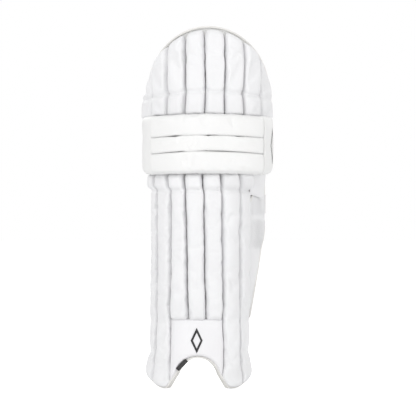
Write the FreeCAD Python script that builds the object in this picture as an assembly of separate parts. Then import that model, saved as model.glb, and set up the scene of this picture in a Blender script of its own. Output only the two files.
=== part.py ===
import FreeCAD, Part
import math
import os
from collections import namedtuple

# Cricket leg pad for the left leg, millimetres.
# +Z is up, the front of the pad faces -Y and the outer side of the leg is +X.
# The origin is under the middle of the pad's bounding box, at the toe.

Vector = FreeCAD.Vector

# ---- Overall layout -------------------------------------------------------------------------
TOTAL_HEIGHT = 722.0
INSTEP_TOP_Z = 136.0
KNEE_CREASE_Z = 395.0
ROLL_LEVELS = (427.0, 469.0, 503.0, 547.0)
TOP_CREASE_Z = 589.0

# ---- Curved layers ----------------------------------------------------------------------------
SHIN_X = -15.0
SHIN_Y = 26.5
SHIN_RADIUS = 96.0
KNEE_SETBACK = 35.0
KNEE_X = 1.0
TOE_RADIUS = 112.0
TOE_KICK = 30.0
TOP_LEAN = 14.0
HAT_OVERRUN = 30.0
LAYER_GAP = 0.3
BACKING = 6.0
LINING = 6.0
SHIN_EDGE_DEG = 68.0
KNEE_EDGE_DEG = 66.0

# ---- Ribs: groove positions as angles from the front ------------------------------------------
SHIN_GROOVES = (-68.0, -55.0, -33.0, -15.0, 5.0, 25.0, 49.5, 68.0)
LOWER_KNEE_GROOVES = (-59.0, -48.5, -33.5, -18.8, -4.0, 11.0, 27.0, 42.0)
TOP_GROOVES = (-66.0, -52.8, -35.4, -18.9, -2.2, 14.8, 31.8, 49.4, 66.0)
RIB_HEIGHT_PER_WIDTH = 0.45
RIB_HEIGHT_MAX = 16.0
RIB_SIDE_SHARE = 0.45
FOOT_RIB_SHARE = 0.6
CANE_RADIUS = 3.5
CANE_POCKET_RADIUS = 3.8
CANE_DEPTH = 6.5
CANE_END_MARGIN = 8.0

# ---- Knee roll ---------------------------------------------------------------------------------
ROLL_CREST = 40.0
ROLL_SIDE = 27.0
ROLL_COVER = 3.0
ROLL_EDGE_DEG = 41.0
ROLL_END_OUT_X = 131.0
ROLL_END_OUT_Y = -29.0
ROLL_END_DEG = 64.0
ROLL_END_SIDE = 6.0
ROLL_CORNER = 18.0

# ---- Creases ------------------------------------------------------------------------------------
CREASE_GAP = 0.7
KNEE_BACK_DEG = 12.0
KNEE_FORWARD_DEG = 4.0
TOP_BACK_DEG = 14.0
TOP_FORWARD_DEG = 6.0
WEDGE_SPARE_DEG = 0.6

# ---- Bindings -----------------------------------------------------------------------------------
BINDING_WIDTH = 4.0
BINDING_GAP = 0.3
BINDING_PROUD = 3.0
RIB_TOP_INSET = 10.0
TAG_SIZE = (24.0, 2.0, 6.0)
TAG_CLEARANCE = 1.6

# ---- Inner cushions -----------------------------------------------------------------------------
BOLSTER = 11.0
CUP_SIDE = 12.0
CUP_TOP = 10.0

# ---- Wing ---------------------------------------------------------------------------------------
WING_FRONT_CENTRE = (22.0, SHIN_Y + 35.0)
WING_FRONT_RADIUS = 95.0
WING_START_DEG = -48.5
WING_TURN_DEG = -10.0
WING_REAR_RADIUS = 48.0
WING_END_DEG = 56.0
WING_BINDING_DEG = 4.0
WING_THICKNESS = 9.0
WING_SKIN = 1.2
WING_BOTTOM_Z = 138.0

# ---- Straps -------------------------------------------------------------------------------------
BAND = 2.5
HOOK = 1.2
STRAP_WIDTH = 42.0
CORNER_RADIUS = 44.0
TAB_TANGENT_DEG = 60.0
SLEEVE = 5.0
CALF_STRAP_Z = 366.0
ANKLE_STRAP_Z = 112.0
KNEE_STRAP_Z = 476.0

BIG = 400.0

Section = namedtuple("Section", "z x y radius")
KNEE_Y = SHIN_Y + KNEE_SETBACK
KNEE_RADIUS = SHIN_RADIUS + KNEE_SETBACK
HINGE_Y = SHIN_Y - SHIN_RADIUS
TOE = Section(0.0, SHIN_X, SHIN_Y + TOE_RADIUS - SHIN_RADIUS - TOE_KICK, TOE_RADIUS)
ANKLE = Section(INSTEP_TOP_Z, SHIN_X, SHIN_Y, SHIN_RADIUS)
SHIN_TOP = Section(KNEE_CREASE_Z, SHIN_X, SHIN_Y, SHIN_RADIUS)
KNEE_BOTTOM = Section(ROLL_LEVELS[0], KNEE_X, KNEE_Y, KNEE_RADIUS)
KNEE_TOP = Section(TOP_CREASE_Z, KNEE_X, KNEE_Y, KNEE_RADIUS)
HAT_RISE = TOTAL_HEIGHT - TOP_CREASE_Z + HAT_OVERRUN
HAT_TOP = Section(TOP_CREASE_Z + HAT_RISE, KNEE_X + 2.0, KNEE_Y + TOP_LEAN, KNEE_RADIUS)


# ---- Geometry helpers ---------------------------------------------------------------------------
def at(section, offset, angle):
    """Point at a radial offset from a section's arc; the angle is 0 at the front."""
    turn = math.radians(angle)
    reach = section.radius + offset
    return Vector(section.x + reach * math.sin(turn), section.y - reach * math.cos(turn), section.z)


def line(start, end):
    return Part.LineSegment(start, end).toShape()


def arc(start, middle, end):
    return Part.Arc(start, middle, end).toShape()


def layer_wire(section, start, end, inner, outer):
    """Outline of a plain curved layer at one height."""
    middle = (start + end) / 2
    inner_start, inner_end = at(section, inner, start), at(section, inner, end)
    outer_start, outer_end = at(section, outer, start), at(section, outer, end)
    return Part.Wire([
        line(inner_start, outer_start),
        arc(outer_start, at(section, outer, middle), outer_end),
        line(outer_end, inner_end),
        arc(inner_end, at(section, inner, middle), inner_start),
    ])


def rib_height(section, start, end):
    width = math.radians(end - start) * section.radius
    return min(RIB_HEIGHT_MAX, RIB_HEIGHT_PER_WIDTH * width)


def rib_wire(section, start, end, share=1.0):
    """Outline of one padded rib at one height: flat sides and a bulging front."""
    margin = math.degrees(LAYER_GAP / section.radius)
    start, end = start + margin, end - margin
    middle = (start + end) / 2
    height = share * rib_height(section, start, end)
    side = RIB_SIDE_SHARE * height
    base = LAYER_GAP
    return Part.Wire([
        line(at(section, base, start), at(section, side, start)),
        arc(at(section, side, start), at(section, height, middle), at(section, side, end)),
        line(at(section, side, end), at(section, base, end)),
        arc(at(section, base, end), at(section, base, middle), at(section, base, start)),
    ])


def loft(wires):
    return Part.makeLoft(wires, True, True)


def layer(sections, edge, inner, outer):
    return loft([layer_wire(section, -edge, edge, inner, outer) for section in sections])


def front_prism(wire):
    """Solid behind an outline drawn in the XZ plane, as deep as the whole pad."""
    face = Part.Face(wire)
    face.translate(Vector(0, -BIG, 0))
    return face.extrude(Vector(0, 2 * BIG, 0))


def side_prism(points):
    """Solid across the pad from a polygon of (y, z) points."""
    corners = [Vector(-BIG, y, z) for y, z in points]
    face = Part.Face(Part.makePolygon(corners + corners[:1]))
    return face.extrude(Vector(2 * BIG, 0, 0))


def ring_sector(centre, inner, outer, start, end, low, high):
    """Vertical curved wall; angles are from +X, counter-clockwise seen from above."""
    def point(radius, degrees):
        turn = math.radians(degrees)
        return Vector(centre[0] + radius * math.cos(turn), centre[1] + radius * math.sin(turn), low)

    middle = (start + end) / 2
    wire = Part.Wire([
        line(point(inner, start), point(outer, start)),
        arc(point(outer, start), point(outer, middle), point(outer, end)),
        line(point(outer, end), point(inner, end)),
        arc(point(inner, end), point(inner, middle), point(inner, start)),
    ])
    return Part.Face(wire).extrude(Vector(0, 0, high - low))


def single(shape):
    """The one solid of a boolean result."""
    solids = sorted(shape.Solids, key=lambda solid: solid.Volume)
    return solids[-1]


def export(name, shape):
    shape.exportStep("parts/" + name + ".step")


# ---- Zones that keep the three hinged sections apart ----------------------------------------------
def crease_plane(level, side, back, forward):
    """The (y, z) edge of one section at a crease, falling away from the hinge line."""
    rear_run = BIG - HINGE_Y
    front_run = BIG + HINGE_Y
    rear = math.tan(math.radians(back / 2 + WEDGE_SPARE_DEG)) * rear_run
    front = math.tan(math.radians(forward / 2 + WEDGE_SPARE_DEG)) * front_run
    z = level + side * CREASE_GAP
    return [(-BIG, z + side * front), (HINGE_Y, z), (BIG, z + side * rear)]


def section_zone(lower, upper):
    """Solid zone between a lower and an upper list of (y, z) points, both from front to back."""
    return side_prism(lower + upper[::-1])


FLOOR_EDGE = [(-BIG, 0.0), (BIG, 0.0)]
SKY_EDGE = [(-BIG, TOTAL_HEIGHT + BIG), (BIG, TOTAL_HEIGHT + BIG)]


def zones():
    knee = (KNEE_CREASE_Z, KNEE_BACK_DEG, KNEE_FORWARD_DEG)
    top = (TOP_CREASE_Z, TOP_BACK_DEG, TOP_FORWARD_DEG)
    shin_zone = section_zone(FLOOR_EDGE, crease_plane(knee[0], -1, knee[1], knee[2]))
    knee_zone = section_zone(
        crease_plane(knee[0], 1, knee[1], knee[2]),
        crease_plane(top[0], -1, top[1], top[2]),
    )
    hat_zone = section_zone(crease_plane(top[0], 1, top[1], top[2]), SKY_EDGE)
    return shin_zone, knee_zone, hat_zone


# ---- Front outlines ------------------------------------------------------------------------------
def xz(x, z):
    return Vector(x, 0, z)


def foot_outline():
    """Front outline of the foot end: a flare on each side and an arch over the boot."""
    wide = 150.0
    return Part.Wire([
        line(xz(-wide, 140), xz(-111, 140)),
        line(xz(-111, 140), xz(-113, 76)),
        arc(xz(-113, 76), xz(-119.5, 34), xz(-88, 0)),
        line(xz(-88, 0), xz(-80, 2)),
        line(xz(-80, 2), xz(-60, 30)),
        arc(xz(-60, 30), xz(-18, 61), xz(24, 30)),
        line(xz(24, 30), xz(41, 2)),
        line(xz(41, 2), xz(50, 0)),
        arc(xz(50, 0), xz(87.5, 34), xz(82, 76)),
        line(xz(82, 76), xz(81, 140)),
        line(xz(81, 140), xz(wide, 140)),
        line(xz(wide, 140), xz(wide, TOTAL_HEIGHT)),
        line(xz(wide, TOTAL_HEIGHT), xz(-wide, TOTAL_HEIGHT)),
        line(xz(-wide, TOTAL_HEIGHT), xz(-wide, 140)),
    ])


def dome_outline(side_inset=0.0, top_inset=0.0):
    """Front outline of the top hat: half an ellipse on sides that widen downwards."""
    centre = xz(3, 592)
    left, right = xz(-120 + side_inset, 592), xz(126 - side_inset, 592)
    ellipse = Part.Ellipse(xz(3, TOTAL_HEIGHT - top_inset), right, centre)
    low_left, low_right = xz(-129 + side_inset, 541), xz(130 - side_inset, 541)
    return Part.Wire([
        Part.ArcOfEllipse(ellipse, -math.pi / 2, math.pi / 2).toShape(),
        line(right, low_right),
        line(low_right, low_left),
        line(low_left, left),
    ])


def inset(wire, distance):
    return wire.makeOffset2D(-distance)


def edge_ring(outer, inner):
    """Prism of the strip between two outlines."""
    return front_prism(outer).cut(front_prism(inner))


# ---- Shin section --------------------------------------------------------------------------------
def shin_rib(index):
    start, end = SHIN_GROOVES[index], SHIN_GROOVES[index + 1]
    wires = [rib_wire(ANKLE, start, end), rib_wire(SHIN_TOP, start, end)]
    if index not in (2, 3, 4):
        wires.insert(0, rib_wire(TOE, start, end, FOOT_RIB_SHARE))
    return loft(wires)


def cane(section, top, start, end, low, high, radius):
    """Round stiffener inside a rib, between two heights."""
    foot = at(section, CANE_DEPTH, (start + end) / 2)
    head = at(top, CANE_DEPTH, (start + end) / 2)
    direction = (head - foot) * (1 / (top.z - section.z))
    base = foot + direction * (low - section.z)
    return Part.makeCylinder(radius, (high - low) * direction.Length, base, direction)


def build_shin(zone):
    outline = foot_outline()
    inner_face = front_prism(inset(outline, BINDING_WIDTH + BINDING_GAP))
    keep = zone.common(inner_face)
    sections = (TOE, ANKLE, SHIN_TOP)
    backing = layer(sections, SHIN_EDGE_DEG, -BACKING, 0.0).common(keep)
    lining = layer(sections, SHIN_EDGE_DEG, -BACKING - LINING, -BACKING - LAYER_GAP).common(keep)
    export("shin_backing", single(backing))
    export("shin_lining", single(lining))

    canes = []
    for index in range(len(SHIN_GROOVES) - 1):
        start, end = SHIN_GROOVES[index], SHIN_GROOVES[index + 1]
        low = INSTEP_TOP_Z + CANE_END_MARGIN
        high = KNEE_CREASE_Z - CANE_END_MARGIN
        pocket = cane(ANKLE, SHIN_TOP, start, end, low - 1, KNEE_CREASE_Z + 1, CANE_POCKET_RADIUS)
        rib = shin_rib(index).common(keep).cut(pocket)
        canes.append(cane(ANKLE, SHIN_TOP, start, end, low, high, CANE_RADIUS))
        export("shin_rib_%d" % (index + 1), single(rib))
    export("shin_canes", Part.makeCompound(canes))

    panel_edges = (SHIN_GROOVES[2], SHIN_GROOVES[5])
    build_instep(keep, panel_edges)
    binding = layer(sections, SHIN_EDGE_DEG + 4, -BACKING - LINING - 0.5, BINDING_PROUD)
    foot_binding = binding.common(edge_ring(outline, inset(outline, BINDING_WIDTH)))
    foot_binding = foot_binding.common(below(INSTEP_TOP_Z - 1))
    export("foot_binding", single(foot_binding))
    build_binding_tag()
    build_side_bindings(zone)
    build_shin_bolsters()


def below(level):
    return side_prism([(-BIG, -BIG), (BIG, -BIG), (BIG, level), (-BIG, level)])


def build_instep(keep, edges):
    """Smooth panel over the instep: a cover on a foam sheet."""
    start, end = edges
    margin = math.degrees(LAYER_GAP / SHIN_RADIUS)
    cap = below(INSTEP_TOP_Z - LAYER_GAP)

    def sheet(inner, outer):
        wires = [layer_wire(s, start + margin, end - margin, inner, outer) for s in (TOE, ANKLE)]
        return single(loft(wires).common(keep).common(cap))

    export("instep_foam", sheet(LAYER_GAP, 7.0))
    export("instep_panel", sheet(7.0 + LAYER_GAP, 9.5))


def build_side_bindings(zone):
    """Folded tape over the two long edges of the shin section."""
    sections = (ANKLE, SHIN_TOP)
    start = SHIN_EDGE_DEG + 0.3
    end = SHIN_EDGE_DEG + 2.0
    tapes = []
    for side in (-1, 1):
        first, last = sorted((side * start, side * end))
        wires = [layer_wire(s, first, last, -BACKING - LINING, 1.0) for s in sections]
        tapes.append(single(loft(wires).common(zone)))
    export("side_bindings", Part.makeCompound(tapes))


def build_binding_tag():
    """Short folded tag sewn on the binding at the left of the arch."""
    length, thickness, width = TAG_SIZE
    tag = Part.makeBox(length, thickness, width)
    tag.translate(Vector(-length / 2, -thickness, -width / 2))
    tag.rotate(Vector(0, 0, 0), Vector(0, 1, 0), -38)
    tag.rotate(Vector(0, 0, 0), Vector(0, 0, 1), -17)
    tag.translate(Vector(-47, toe_front_y(-47, 48) - TAG_CLEARANCE, 48))
    export("binding_tag", tag)


def toe_front_y(x, z):
    """Front face of the foot binding at a place on the front view."""
    share = z / INSTEP_TOP_Z
    radius = TOE.radius + (ANKLE.radius - TOE.radius) * share + BINDING_PROUD
    centre = TOE.y + (ANKLE.y - TOE.y) * share
    return centre - math.sqrt(radius ** 2 - (x - SHIN_X) ** 2)


def build_shin_bolsters():
    """Two soft strips on the lining, one each side of the shin bone."""
    sections = (ANKLE._replace(z=160.0), SHIN_TOP._replace(z=365.0))
    outer = -BACKING - LINING - LAYER_GAP
    bolsters = []
    for start, end in ((-40.0, -14.0), (14.0, 40.0)):
        wires = [layer_wire(s, start, end, outer - BOLSTER, outer) for s in sections]
        bolsters.append(loft(wires))
    export("shin_bolsters", Part.makeCompound(bolsters))


# ---- Knee section --------------------------------------------------------------------------------
def roll_bar(low, high, crest, side, edge):
    """One bulging bar of the knee roll, turned about the knee section's axis."""
    base = KNEE_RADIUS + LAYER_GAP
    corners = [Vector(base, 0, low), Vector(base + side, 0, low)]
    corners += [Vector(base + crest, 0, (low + high) / 2)]
    corners += [Vector(base + side, 0, high), Vector(base, 0, high)]
    wire = Part.Wire([
        line(corners[0], corners[1]),
        arc(corners[1], corners[2], corners[3]),
        line(corners[3], corners[4]),
        line(corners[4], corners[0]),
    ])
    bar = Part.Face(wire).revolve(Vector(0, 0, 0), Vector(0, 0, 1), 2 * edge)
    bar.rotate(Vector(0, 0, 0), Vector(0, 0, 1), -90 - edge)
    bar.translate(Vector(KNEE_X, KNEE_Y, 0))
    return bar


def build_knee_roll():
    """Three covered foam bars and an end panel on each side."""
    foams = []
    names = ("knee_roll_bottom", "knee_roll_middle", "knee_roll_top")
    for name, low, high in zip(names, ROLL_LEVELS[:-1], ROLL_LEVELS[1:]):
        low += LAYER_GAP
        high -= LAYER_GAP
        outer = roll_bar(low, high, ROLL_CREST, ROLL_SIDE, ROLL_EDGE_DEG)
        hollow_low = low + ROLL_COVER
        hollow_high = high - ROLL_COVER
        hollow = roll_bar(hollow_low, hollow_high, ROLL_CREST - ROLL_COVER, ROLL_SIDE - 1, ROLL_EDGE_DEG + 1)
        core_low = hollow_low + LAYER_GAP
        core_high = hollow_high - LAYER_GAP
        core_crest = ROLL_CREST - ROLL_COVER - LAYER_GAP
        core = roll_bar(core_low, core_high, core_crest, ROLL_SIDE - 1.5, ROLL_EDGE_DEG)
        export(name, single(outer.cut(hollow)))
        foams.append(core)
    export("knee_roll_foams", Part.makeCompound(foams))
    for name, side in (("knee_roll_left_end", -1), ("knee_roll_right_end", 1)):
        export(name, roll_end(side))


def roll_end(side):
    """Rounded end panel that closes the three bars on one side."""
    section = KNEE_BOTTOM._replace(z=ROLL_LEVELS[0] + LAYER_GAP)
    start, end = side * (ROLL_EDGE_DEG + 0.3), side * ROLL_END_DEG
    shoulder = Vector(KNEE_X + side * (ROLL_END_OUT_X - KNEE_X), SHIN_Y + ROLL_END_OUT_Y, section.z)
    wire = Part.Wire([
        line(at(section, LAYER_GAP, start), at(section, ROLL_CREST - 4, start)),
        arc(at(section, ROLL_CREST - 4, start), shoulder, at(section, ROLL_END_SIDE, end)),
        line(at(section, ROLL_END_SIDE, end), at(section, LAYER_GAP, end)),
        arc(at(section, LAYER_GAP, end), at(section, LAYER_GAP, (start + end) / 2),
            at(section, LAYER_GAP, start)),
    ])
    panel = Part.Face(wire).extrude(Vector(0, 0, ROLL_LEVELS[-1] - ROLL_LEVELS[0] - 8))
    return single(panel.common(rounded_front(side)))


def rounded_front(side):
    """Front outline that rounds the outer corners of a roll end."""
    low, high = ROLL_LEVELS[0] + LAYER_GAP, ROLL_LEVELS[-1] - 6
    out, corner = ROLL_END_OUT_X + 3, ROLL_CORNER
    slack = corner * (1 - math.sqrt(0.5))

    def p(x, z):
        return xz(side * x, z)

    return front_prism(Part.Wire([
        line(p(0, low), p(out - corner, low)),
        arc(p(out - corner, low), p(out - slack, low + slack), p(out, low + corner)),
        line(p(out, low + corner), p(out, high - corner)),
        arc(p(out, high - corner), p(out - slack, high - slack), p(out - corner, high)),
        line(p(out - corner, high), p(0, high)),
        line(p(0, high), p(0, low)),
    ]))


def build_knee(zone):
    sections = (SHIN_TOP, KNEE_BOTTOM, KNEE_TOP)
    backing = single(layer(sections, KNEE_EDGE_DEG, -BACKING, 0.0).common(zone))
    lining = layer(sections, KNEE_EDGE_DEG, -BACKING - LINING, -BACKING - LAYER_GAP)
    lining = single(lining.common(zone))
    export("knee_backing", backing)
    export("knee_lining", lining)

    lower_ribs = []
    low_cap = below(ROLL_LEVELS[0] - LAYER_GAP)
    for index in range(len(SHIN_GROOVES) - 1):
        wires = [
            rib_wire(SHIN_TOP, SHIN_GROOVES[index], SHIN_GROOVES[index + 1]),
            rib_wire(KNEE_BOTTOM, LOWER_KNEE_GROOVES[index], LOWER_KNEE_GROOVES[index + 1]),
        ]
        lower_ribs.append(single(loft(wires).common(zone).common(low_cap).cut(backing)))
    export("lower_knee_ribs", Part.makeCompound(lower_ribs))

    upper_ribs = []
    start_section = KNEE_TOP._replace(z=ROLL_LEVELS[-1] + LAYER_GAP)
    for start, end in zip(TOP_GROOVES[:-1], TOP_GROOVES[1:]):
        wires = [rib_wire(start_section, start, end), rib_wire(KNEE_TOP, start, end)]
        upper_ribs.append(single(loft(wires).common(zone)))
    export("upper_knee_ribs", Part.makeCompound(upper_ribs))

    build_knee_roll()
    build_knee_cup()
    build_knee_gusset(zone, [backing, lining] + lower_ribs)


def build_knee_cup():
    """Three cushions inside the knee section that seat the kneecap."""
    outer = -BACKING - LINING - LAYER_GAP
    pads = (
        (-46.0, -24.0, 448.0, 560.0, CUP_SIDE),
        (24.0, 46.0, 448.0, 560.0, CUP_SIDE),
        (-22.0, 22.0, 536.0, 568.0, CUP_TOP),
    )
    cushions = []
    for start, end, low, high, thickness in pads:
        sections = (KNEE_TOP._replace(z=low), KNEE_TOP._replace(z=high))
        wires = [layer_wire(s, start, end, outer - thickness, outer) for s in sections]
        cushions.append(loft(wires))
    export("knee_cup_sides", Part.makeCompound(cushions[:2]))
    export("knee_cup_top", cushions[2])


def build_knee_gusset(zone, neighbours):
    """Soft panel of the knee section that carries the wing's line up to the knee roll."""
    low = KNEE_CREASE_Z
    high = ROLL_LEVELS[0] - LAYER_GAP
    gusset = ring_sector(WING_FRONT_CENTRE, WING_FRONT_RADIUS - WING_THICKNESS, WING_FRONT_RADIUS,
                         WING_START_DEG, WING_TURN_DEG, low, high)
    gusset = gusset.common(zone)
    for other in neighbours:
        gusset = gusset.cut(other)
    export("knee_gusset", single(gusset))


# ---- Top hat -------------------------------------------------------------------------------------
def build_top_hat(zone):
    edge = BINDING_WIDTH + BINDING_GAP
    keep = zone.common(front_prism(dome_outline(edge, edge)))
    rib_keep = zone.common(front_prism(dome_outline(edge, RIB_TOP_INSET)))
    sections = (KNEE_TOP, HAT_TOP)
    backing = layer(sections, KNEE_EDGE_DEG, -BACKING, 0.0).common(keep)
    lining = layer(sections, KNEE_EDGE_DEG, -BACKING - LINING, -BACKING - LAYER_GAP).common(keep)
    export("top_backing", single(backing))
    export("top_lining", single(lining))

    canes = []
    for index, (start, end) in enumerate(zip(TOP_GROOVES[:-1], TOP_GROOVES[1:])):
        rib = loft([rib_wire(KNEE_TOP, start, end), rib_wire(HAT_TOP, start, end)]).common(rib_keep)
        rib = single(rib)
        low = TOP_CREASE_Z + CANE_END_MARGIN
        high = rib.optimalBoundingBox().ZMax - 3 * CANE_END_MARGIN
        if high - low > 5 * CANE_END_MARGIN:
            pocket = cane(KNEE_TOP, HAT_TOP, start, end, TOP_CREASE_Z - 5, high + 1, CANE_POCKET_RADIUS)
            rib = single(rib.cut(pocket))
            canes.append(cane(KNEE_TOP, HAT_TOP, start, end, low, high, CANE_RADIUS))
        export("top_rib_%d" % (index + 1), rib)
    export("top_canes", Part.makeCompound(canes))

    binding = layer(sections, KNEE_EDGE_DEG, -BACKING - LINING - 0.5, BINDING_PROUD)
    rim = edge_ring(dome_outline(), dome_outline(BINDING_WIDTH, BINDING_WIDTH))
    binding = binding.common(zone).common(rim)
    export("top_binding", single(binding))


# ---- Wing ----------------------------------------------------------------------------------------
def wing_rear_centre():
    """Centre of the wing's rear arc, tangent to the front arc where the curve tightens."""
    turn = math.radians(WING_TURN_DEG)
    reach = WING_FRONT_RADIUS - WING_REAR_RADIUS
    x, y = WING_FRONT_CENTRE
    return (x + reach * math.cos(turn), y + reach * math.sin(turn))


def wing_layer(inner, outer, start, end, low, high):
    """Layer of the wing between two depths below its outer face."""
    front = ring_sector(WING_FRONT_CENTRE, WING_FRONT_RADIUS - inner, WING_FRONT_RADIUS - outer,
                        start, WING_TURN_DEG, low, high)
    rear = ring_sector(wing_rear_centre(), WING_REAR_RADIUS - inner, WING_REAR_RADIUS - outer,
                       WING_TURN_DEG, end, low, high)
    return front.fuse(rear).removeSplitter()


def wing_outline(inset_by, top_edge):
    """Side view of the wing: narrow at the ankle and wide at the calf, rounded at the rear."""
    rear = [(-36, 138), (-27, 176), (-13, 226), (1, 276), (24, 318), (60, 340)]
    points = [(SHIN_Y + y - inset_by, z + inset_by) for y, z in rear]
    points = [(-BIG, WING_BOTTOM_Z + inset_by)] + points + [(BIG, 346 + inset_by)]
    lift = [(y, z - inset_by) for y, z in top_edge]
    return side_prism(points + lift[::-1])


def build_wing():
    top_edge = crease_plane(KNEE_CREASE_Z, -1, KNEE_BACK_DEG, KNEE_FORWARD_DEG)
    high = KNEE_CREASE_Z
    full = wing_outline(0.0, top_edge)
    inner = wing_outline(BINDING_WIDTH, top_edge)
    end = WING_END_DEG - WING_BINDING_DEG
    start = WING_START_DEG
    thick = WING_THICKNESS
    layers = (
        ("wing_lining", thick, thick - WING_SKIN),
        ("wing_foam", thick - WING_SKIN - LAYER_GAP, WING_SKIN + LAYER_GAP),
        ("wing_cover", WING_SKIN, 0.0),
    )
    for name, deep, shallow in layers:
        sheet = wing_layer(deep, shallow, start, end - 0.5, 0.0, high).common(inner)
        export(name, single(sheet))
    whole = wing_layer(thick, 0.0, start, WING_END_DEG, 0.0, high).common(full)
    heart = wing_layer(thick + 1, -1.0, start - 1, end, 0.0, high)
    heart = heart.common(wing_outline(BINDING_WIDTH - BINDING_GAP, top_edge))
    export("wing_binding", single(whole.cut(heart)))
    low, top = strap_levels(CALF_STRAP_Z)
    patch = ring_sector(wing_rear_centre(), WING_REAR_RADIUS + LAYER_GAP,
                        WING_REAR_RADIUS + LAYER_GAP + HOOK, 10, end - 2, low + 3, top - 5)
    export("calf_loop_patch", patch)


# ---- Straps --------------------------------------------------------------------------------------
def strap_levels(middle):
    return middle - STRAP_WIDTH / 2, middle + STRAP_WIDTH / 2


def corner_centre(section, side):
    """Centre of a strap's corner arc, tangent to the inside of the lining near an edge."""
    reach = section.radius - BACKING - LINING - CORNER_RADIUS
    turn = math.radians(side * TAB_TANGENT_DEG)
    return (section.x + reach * math.sin(turn), section.y - reach * math.cos(turn))


def rear_centre(left, left_radius, right, right_radius, rear_radius):
    """Centre of the arc behind the leg that touches both corner arcs from outside."""
    across, back = right[0] - left[0], right[1] - left[1]
    span = math.hypot(across, back)
    from_left = rear_radius - left_radius
    from_right = rear_radius - right_radius
    along = (from_left ** 2 - from_right ** 2 + span ** 2) / (2 * span)
    drop = math.sqrt(from_left ** 2 - along ** 2)
    unit_x, unit_y = across / span, back / span
    return (left[0] + along * unit_x + drop * unit_y, left[1] + along * unit_y - drop * unit_x)


def heading(origin, target):
    return math.degrees(math.atan2(target[1] - origin[1], target[0] - origin[0]))


def build_strap(name, section, middle, right, right_radius, rear_radius, tip_deg, hook_deg):
    """A webbing band behind the leg, with a padded sleeve and a hook tab at its free end.

    Returns the sewn stub that the band turns on.
    """
    low, high = strap_levels(middle)
    left = corner_centre(section, -1)
    left_radius = CORNER_RADIUS - LAYER_GAP
    rear = rear_centre(left, left_radius, right, right_radius, rear_radius)
    left_turn = heading(rear, left)
    right_turn = heading(rear, right)
    band = ring_sector(left, left_radius - BAND, left_radius, left_turn, 177, low, high)
    band = band.fuse(ring_sector(rear, rear_radius - BAND, rear_radius, right_turn, left_turn, low, high))
    band = band.fuse(ring_sector(right, right_radius - BAND, right_radius, tip_deg, right_turn, low, high))
    export(name + "_band", single(band.removeSplitter()))

    sleeve_outer = rear_radius - BAND - LAYER_GAP
    sleeve = ring_sector(rear, sleeve_outer - SLEEVE, sleeve_outer, right_turn + 2, left_turn - 2,
                         low - 2, high + 2)
    export(name + "_sleeve", sleeve)

    hook_outer = right_radius - BAND - LAYER_GAP
    hook = ring_sector(right, hook_outer - HOOK, hook_outer, tip_deg + 1, hook_deg, low + 2, high - 2)
    export(name + "_hook_tab", hook)

    return ring_sector(left, left_radius - BAND, left_radius, 182, 212, low, high)


def build_landing(name, middle, right, end):
    """Loop-faced tab sewn inside the outer edge, which a strap's hook tab presses on."""
    low, high = strap_levels(middle)
    outer = CORNER_RADIUS - LAYER_GAP
    export(name, ring_sector(right, outer - BAND, outer, -32, end, low, high))


def build_straps():
    lap = LAYER_GAP + HOOK + LAYER_GAP + BAND
    anchors = []
    for name, section, middle, rear_radius, lap_end in (
        ("ankle_strap", ANKLE, ANKLE_STRAP_Z, 90.0, 34),
        ("knee_strap", KNEE_TOP, KNEE_STRAP_Z, 190.0, 48),
    ):
        right = corner_centre(section, 1)
        anchor = build_strap(name, section, middle, right, CORNER_RADIUS + lap, rear_radius, 3, lap_end)
        anchors.append(anchor)
        build_landing(name + "_landing", middle, right, lap_end + 2)
    calf_radius = WING_REAR_RADIUS + LAYER_GAP + HOOK + lap
    calf_anchor = build_strap("calf_strap", SHIN_TOP, CALF_STRAP_Z, wing_rear_centre(), calf_radius,
                              150.0, 21, WING_END_DEG - WING_BINDING_DEG)
    export("shin_strap_anchors", Part.makeCompound([anchors[0], calf_anchor]))
    export("knee_strap_anchor", anchors[1])


def main():
    os.makedirs("parts", exist_ok=True)
    shin_zone, knee_zone, hat_zone = zones()
    build_shin(shin_zone)
    build_knee(knee_zone)
    build_top_hat(hat_zone)
    build_wing()
    build_straps()


main()
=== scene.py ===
import math

import bmesh
import bpy
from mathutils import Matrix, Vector, noise


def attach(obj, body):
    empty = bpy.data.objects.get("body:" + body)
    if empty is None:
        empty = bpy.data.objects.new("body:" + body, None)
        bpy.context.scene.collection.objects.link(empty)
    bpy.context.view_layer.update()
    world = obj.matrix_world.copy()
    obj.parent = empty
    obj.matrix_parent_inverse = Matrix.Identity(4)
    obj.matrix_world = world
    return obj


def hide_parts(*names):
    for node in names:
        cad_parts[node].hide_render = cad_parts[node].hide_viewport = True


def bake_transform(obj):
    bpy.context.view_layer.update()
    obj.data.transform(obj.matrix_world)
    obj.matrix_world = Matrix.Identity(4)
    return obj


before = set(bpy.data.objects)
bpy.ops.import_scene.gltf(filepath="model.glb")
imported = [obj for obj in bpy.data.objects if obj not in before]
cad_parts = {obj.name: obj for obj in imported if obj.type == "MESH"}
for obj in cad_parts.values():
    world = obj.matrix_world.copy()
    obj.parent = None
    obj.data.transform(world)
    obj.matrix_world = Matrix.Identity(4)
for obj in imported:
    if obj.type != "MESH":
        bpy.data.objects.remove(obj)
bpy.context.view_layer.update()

bl_info = {
    "name": "Cricket Leg Pad",
    "version": (1, 0, 0),
    "blender": (4, 5, 0),
    "location": "View3D > Sidebar > Leg Pad",
    "description": "Builds the padded, sewn and strapped parts of a cricket leg pad on its packed frame",
    "category": "Object",
}

MM = 0.001

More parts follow.
